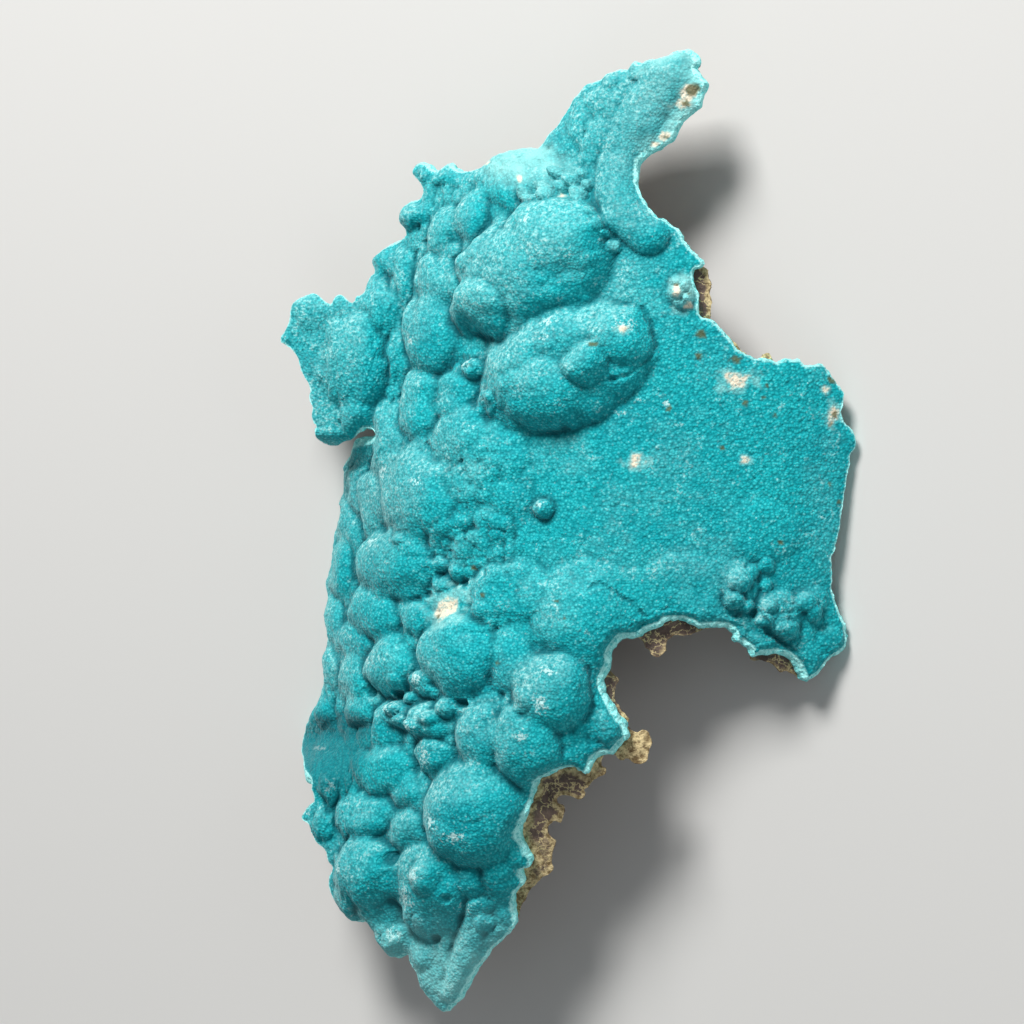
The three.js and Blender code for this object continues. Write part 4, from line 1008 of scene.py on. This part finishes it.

# Oval patches of the shading: painted shade in hollows, softer painted crease shade, frost with painted
# light, paler crust with painted light at the top, a pale knob, a duller rim.
# Painted shade in the two sheltered hollows on the lower left.
HOLLOW_SHADE = [
    (0.8, (-20.3, -27), (4, 2.4), (0.6, 1.3)), (0.68, (-22, -30.5), (5.5, 5.5), (0.6, 1.3)),
]
SOFTER_CREASE_SHADE = [
    (0.6, (6.5, 40.5), (5, 3), (0.7, 1.2)), (0.4, (8, 19), (10, 8), (0.7, 1.1)),
]
# Frost with painted light: less on the plain, more on the great lump and the lump by the bay.
FROST_LIGHT_PATCHES = [
    (-0.12, (6, -5), (14, 12), (0.6, 1.1)), (0.36, (5, 25), (10, 12), (0.6, 1.1)),
    (0.6, (4.8, -21.3), (1, 1), (2.5, 5.5)),
]
# Paler crust with painted light at the top, which faces the light.
PALE_AND_LIT_TOP = [(0.7, (2.2, 43), (5.5, 3.6), (0.45, 1.25))]
PALE_KNOB = [(0.8, (21.4, 27.6), (2, 2.4), (0.6, 1.1))]
DULL_SLIT = [(0.6, (-19, 8), (4, 1.6), (0.7, 1.1))]

# Zones of the shading: less painted crease shade on the flap, painted shade that darkens the lower part
# and a few bands, frost with painted light, a tip brightened by painted light, the pale horn edge.
FLAP_CREASE_SHADE = [(0.5, [(-16, -18)], [(8, 11)])]
# Painted shade: darker below the centre, towards the bottom and in a few bands.
DARKER_ZONE_SHADE = [
    (0.1, [(-4, 4)], [(-8, -22)]), (0.12, [], [(-25, -40), (-53, -45)]),
    (0.12, [(9, 14)], [(-3, -9)]), (0.16, [(9, 13)], [(32, 38)]),
    (0.08, [(-8, -12)], [(-14, -8), (10, 6)]),
]
# Frost with painted light in zones at the top, the tip and on the left.
FROST_LIGHT_ZONES = [
    (0.1, [], [(36, 46)]), (0.35, [], [(-47, -56)]), (0.42, [(-18, -21)], [(0, -6), (-24, -20)]),
    (0.28, [(10, 13)], [(33, 38)]), (0.3, [(-16, -20)], [(7, 10)]),
]
# Painted light that brightens the tip, which faces away from the light.
LIT_TIP = [(0.42, [], [(-46, -57)])]
PALE_HORN = [(0.6, [(14, 17)], [(43, 47)])]
HORN_FOOT_BEADS = NODULES[:12]


def spotted(u, v, spots):
    """1 inside any of the spots and 0 outside, with an edge broken up by soft noise."""
    share = np.zeros_like(u)
    rough = 0.45 * waves(u, v, 0.9, 81) + 0.3 * waves(u, v, 0.45, 82)
    for spot_u, spot_v, width, height in spots:
        radius = np.hypot((u - spot_u) / width, (v - spot_v) / height)
        share = np.maximum(share, 1 - step(radius + rough, 0.75, 1.1))
    return share


def frosted_and_lit(u, v, upper_left):
    """How much a place is frosted, with painted light: more where a lump faces the upper left
    and where the sheet leans left and up, towards the light, patchy by soft noise, and changed by
    the patches, zones and bunches, less in the shaded hollows."""
    lean = sheet_normal(u, v)
    patchy = 0.3 * waves(u, v, 6.5, 92) + 0.175 * waves(u, v, 1.8, 93)
    frost_and_highlight = 0.8 * upper_left - 0.38 * lean[:, 0] + 0.45 * lean[:, 1] + patchy
    frost_and_highlight += zoned(u, v, FROST_LIGHT_ZONES) + ovals(u, v, FROST_LIGHT_PATCHES).sum(axis=0)
    return frost_and_highlight + 0.35 * bunched(u, v) - 1.2 * ovals(u, v, HOLLOW_SHADE).max(axis=0)


def paled_and_lit(u, v, distance):
    """The palest of: the top between its beads, paler crust with painted light from above, the
    beads, the knob, the horn's band and its edge, the tip, brightened as painted light, and the
    halos of the chips. Soft noise makes it uneven."""
    beads = highest_cap(u, v, HORN_FOOT_BEADS, 1.0)
    band = 0.22 * step(u - 0.35 * v, -3.5, 0) * step(v, 38, 47)
    halos = [(spot_u, spot_v, HALO_SIZE * width, HALO_SIZE * height)
             for spot_u, spot_v, width, height in CREAM_CHIPS]
    palest = np.maximum.reduce([
        ovals(u, v, PALE_AND_LIT_TOP)[0] * (1 - 0.7 * step(beads, 0.1, 0.5)),
        0.28 * step(beads, 0.2, 0.9),
        ovals(u, v, PALE_KNOB)[0],
        band,
        zoned(u, v, PALE_HORN) * (1 - step(distance, 0.4, 2.2)),
        zoned(u, v, LIT_TIP),
        0.5 * spotted(u, v, halos),
    ])
    return palest * (0.8 + 0.4 * waves(u, v, 1.1, 91))


crust_points, crust_faces, crust_gap, (crust_u, crust_v) = closed_sheet(
    CRUST_EDGE, CRUST_RAGGED, 21, crust_front, crust_back, CRUST_FRONT_SPACING,
    CRUST_BACK_SPACING, crust_wall)
crust = new_piece("rosasite_skin", worn_flat(crust_points), crust_faces, crust_paint())
front_count = len(crust_u)
front_gap = crust_gap[:front_count]
rim = 1 - step(crust_gap, 0.0, RIM_WIDTH)
rim[:front_count] *= 1 - ovals(crust_u, crust_v, DULL_SLIT)[0]
# Painted shade: the crease shade of creases, hollows and darker zones, kept as a mesh attribute.
crease_shade, upper_left = creases(crust_u, crust_v)
crease_shade *= np.prod(1 - ovals(crust_u, crust_v, SOFTER_CREASE_SHADE), axis=0)
crease_shade *= 1 - zoned(crust_u, crust_v, FLAP_CREASE_SHADE)
shaded = np.vstack([crease_shade * step(front_gap, 0.2, 1.5), ovals(crust_u, crust_v, HOLLOW_SHADE),
                    zoned(crust_u, crust_v, DARKER_ZONE_SHADE)])
glint_cluster_spots = [(1, spot[:2], spot[2:], GLINT_CLUSTER_FADE) for spot in GLINT_CLUSTERS]
face_attribute(crust, "rim", rim)
face_attribute(crust, "through", np.clip(-crust_gap, 0, 1))
face_attribute(crust, "crease_shade", shaded.max(axis=0))
# Frost with painted light on the sides that face the upper left.
face_attribute(crust, "frost_and_highlight",
               np.clip(frosted_and_lit(crust_u, crust_v, upper_left), 0, 1) * (1 - 0.8 * crease_shade))
# Painted glint clusters, none in the crease shade.
face_attribute(crust, "glint_clusters", ovals(crust_u, crust_v, glint_cluster_spots).max(axis=0) * (1 - crease_shade))
# Paleness, partly painted light at the top and the tip.
face_attribute(crust, "pale_and_lit", paled_and_lit(crust_u, crust_v, front_gap))
face_attribute(crust, "cream", spotted(crust_u, crust_v, CREAM_CHIPS))
face_attribute(crust, "brown", SPECK_STRENGTH * spotted(crust_u, crust_v, BROWN_SPECKS))
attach(crust, "root")
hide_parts("rosasite_crust")


# Goethite rind
# The brown iron oxide that the rosasite grew on: a brittle layer under a millimetre thick,
# dark and smooth in its middle and crumbling to ochre powder along its edges.
RIND_THICKNESS = 0.9
RIND_GAP = 0.03
RIND_RAGGED = 0.16
RIND_FRONT_SPACING = 0.5
RIND_BACK_SPACING = 0.6
RIND_ROWS = (0.33, 0.67)
RIND_CRUMBLE = 0.16
RIND_DARK = (0.085, 0.056, 0.047, 1)
RIND_BROWN = (0.23, 0.16, 0.125, 1)
VEIN_OCHRE = (0.62, 0.50, 0.26, 1)
POWDER_BROWN = (0.19, 0.125, 0.05, 1)
POWDER_OCHRE = (0.78, 0.62, 0.33, 1)
CRUMBLY_FAN = [(1, (15.6, -29.6), (1, 1), (1.6, 2.4))]
SMOOTH_BAY = [(0.6, [], [(-27, -24), (10, 0)])]


def rind_front(u, v, distance, way):
    """The cast of the growth just under the crust's back, made uneven by soft noise."""
    length = stretched(u, v)
    cast = CAST_SHARE * growth(u, v) * step(distance, 0.0, EDGE_FADE)
    height = cast - CRUST_THICKNESS - RIND_GAP + 0.05 * waves(length, v, 0.8, 61)
    return raised(u, v, height, distance, way, 0.0)


def rind_back(u, v, distance, way):
    """The same cast one rind lower, thinner near the edge and rough with crumbs."""
    length = stretched(u, v)
    cast = CAST_SHARE * growth(u, v) * step(distance, 0.0, EDGE_FADE)
    crumbs = 0.25 * waves(length, v, 2.2, 63) + 0.16 * pebbles(length, v, 1.3, 65)
    thin = RIND_THICKNESS * (0.45 + 0.55 * step(distance, 0.0, 2.0))
    depth = CRUST_THICKNESS + RIND_GAP + thin + crumbs * step(distance, 0.0, 1.0)
    return raised(u, v, cast - depth, distance, way, 0.0)


def rind_wall(front_edge, back_edge, seen, ways):
    """Two rows between the front and back edge, roughened by soft noise."""
    places = np.arange(len(seen)) * EDGE_SPACING
    out = np.stack([-ways[:, 0], -ways[:, 1], np.zeros(len(seen))], axis=-1)
    for share in RIND_ROWS:
        level = np.full(len(seen), share * 1.2)
        bulge = RIND_CRUMBLE * waves(places, level, 0.45, 71)
        yield share, front_edge * (1 - share) + back_edge * share + out * bulge[:, None]


def rind_paint():
    """Dark purple-brown with fine ochre veins, and ochre powder along the broken edges."""
    material = bpy.data.materials.new("goethite")
    material.use_nodes = True
    tree = material.node_tree
    shader = tree.nodes["Principled BSDF"]
    place = wire(tree, "ShaderNodeTexCoord").outputs["Object"]
    cloud = clouded(tree, place, 380.0, 5.0, 0.65)
    crumb = clouded(tree, place, 1500.0, 4.0, 0.65)
    curl = clouded(tree, place, 900.0, 3.0, 0.5)
    body = mixed(tree, ranged(tree, cloud, 0.35, 0.7, 0, 1), RIND_DARK, RIND_BROWN)
    contour = wire(tree, "ShaderNodeMath", {0: curl, 1: 0.5, 2: 0.022}, operation="COMPARE")
    veins = times(tree, contour.outputs["Value"], ranged(tree, cloud, 0.36, 0.46, 0, 0.95))
    veined = mixed(tree, veins, body, VEIN_OCHRE)
    powder = mixed(tree, ranged(tree, crumb, 0.40, 0.60, 0, 1), POWDER_BROWN, POWDER_OCHRE)
    powder_level = added(tree, marked(tree, "rim"), 1.0, cloud)
    powdered = mixed(tree, ranged(tree, powder_level, 0.72, 1.02, 0, 0.95), veined, powder)
    tree.links.new(powdered, shader.inputs["Base Color"])
    raised_grain(tree, shader, added(tree, crumb, 0.8, cloud), 0.9, 0.0004)
    shader.inputs["Roughness"].default_value = 0.78
    return material


def crumbled(u, v, gap):
    """How much of the rind is powder: all of it in a strip of uneven width along the edges, less
    in the bay, all of the fan, and patches along the crust's own edge near the tip."""
    count = len(u)
    speckle = 0.7 * waves(u, v, 1.7, 94) + 0.5 * waves(u, v, 0.7, 95)
    width = np.full(len(gap), 0.8)
    width[:count] += 0.7 * speckle
    powder = 1 - step(abs(gap), 0.0, np.maximum(width, 0.2))
    powder[:count] *= 1 - zoned(u, v, SMOOTH_BAY)
    beside, _ = nearest_edge(np.stack([u, v], axis=-1), resampled(CRUST_EDGE, EDGE_SPACING))
    along = 0.55 * step(v, -27, -30) * (1 - step(beside + 0.5 * speckle, 0.5, 1.2))
    patches = np.maximum(ovals(u, v, CRUMBLY_FAN)[0], along + 0.35 * step(v, -38, -42))
    powder[:count] = np.maximum(powder[:count], patches)
    return powder


rind_points, rind_faces, rind_gap, (rind_u, rind_v) = closed_sheet(
    rind_outline(), RIND_RAGGED, 57, rind_front, rind_back, RIND_FRONT_SPACING,
    RIND_BACK_SPACING, rind_wall)
rind = new_piece("goethite_layer", worn_flat(rind_points), rind_faces, rind_paint())
face_attribute(rind, "rim", crumbled(rind_u, rind_v, rind_gap))
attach(rind, "root")
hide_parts("goethite_rind")
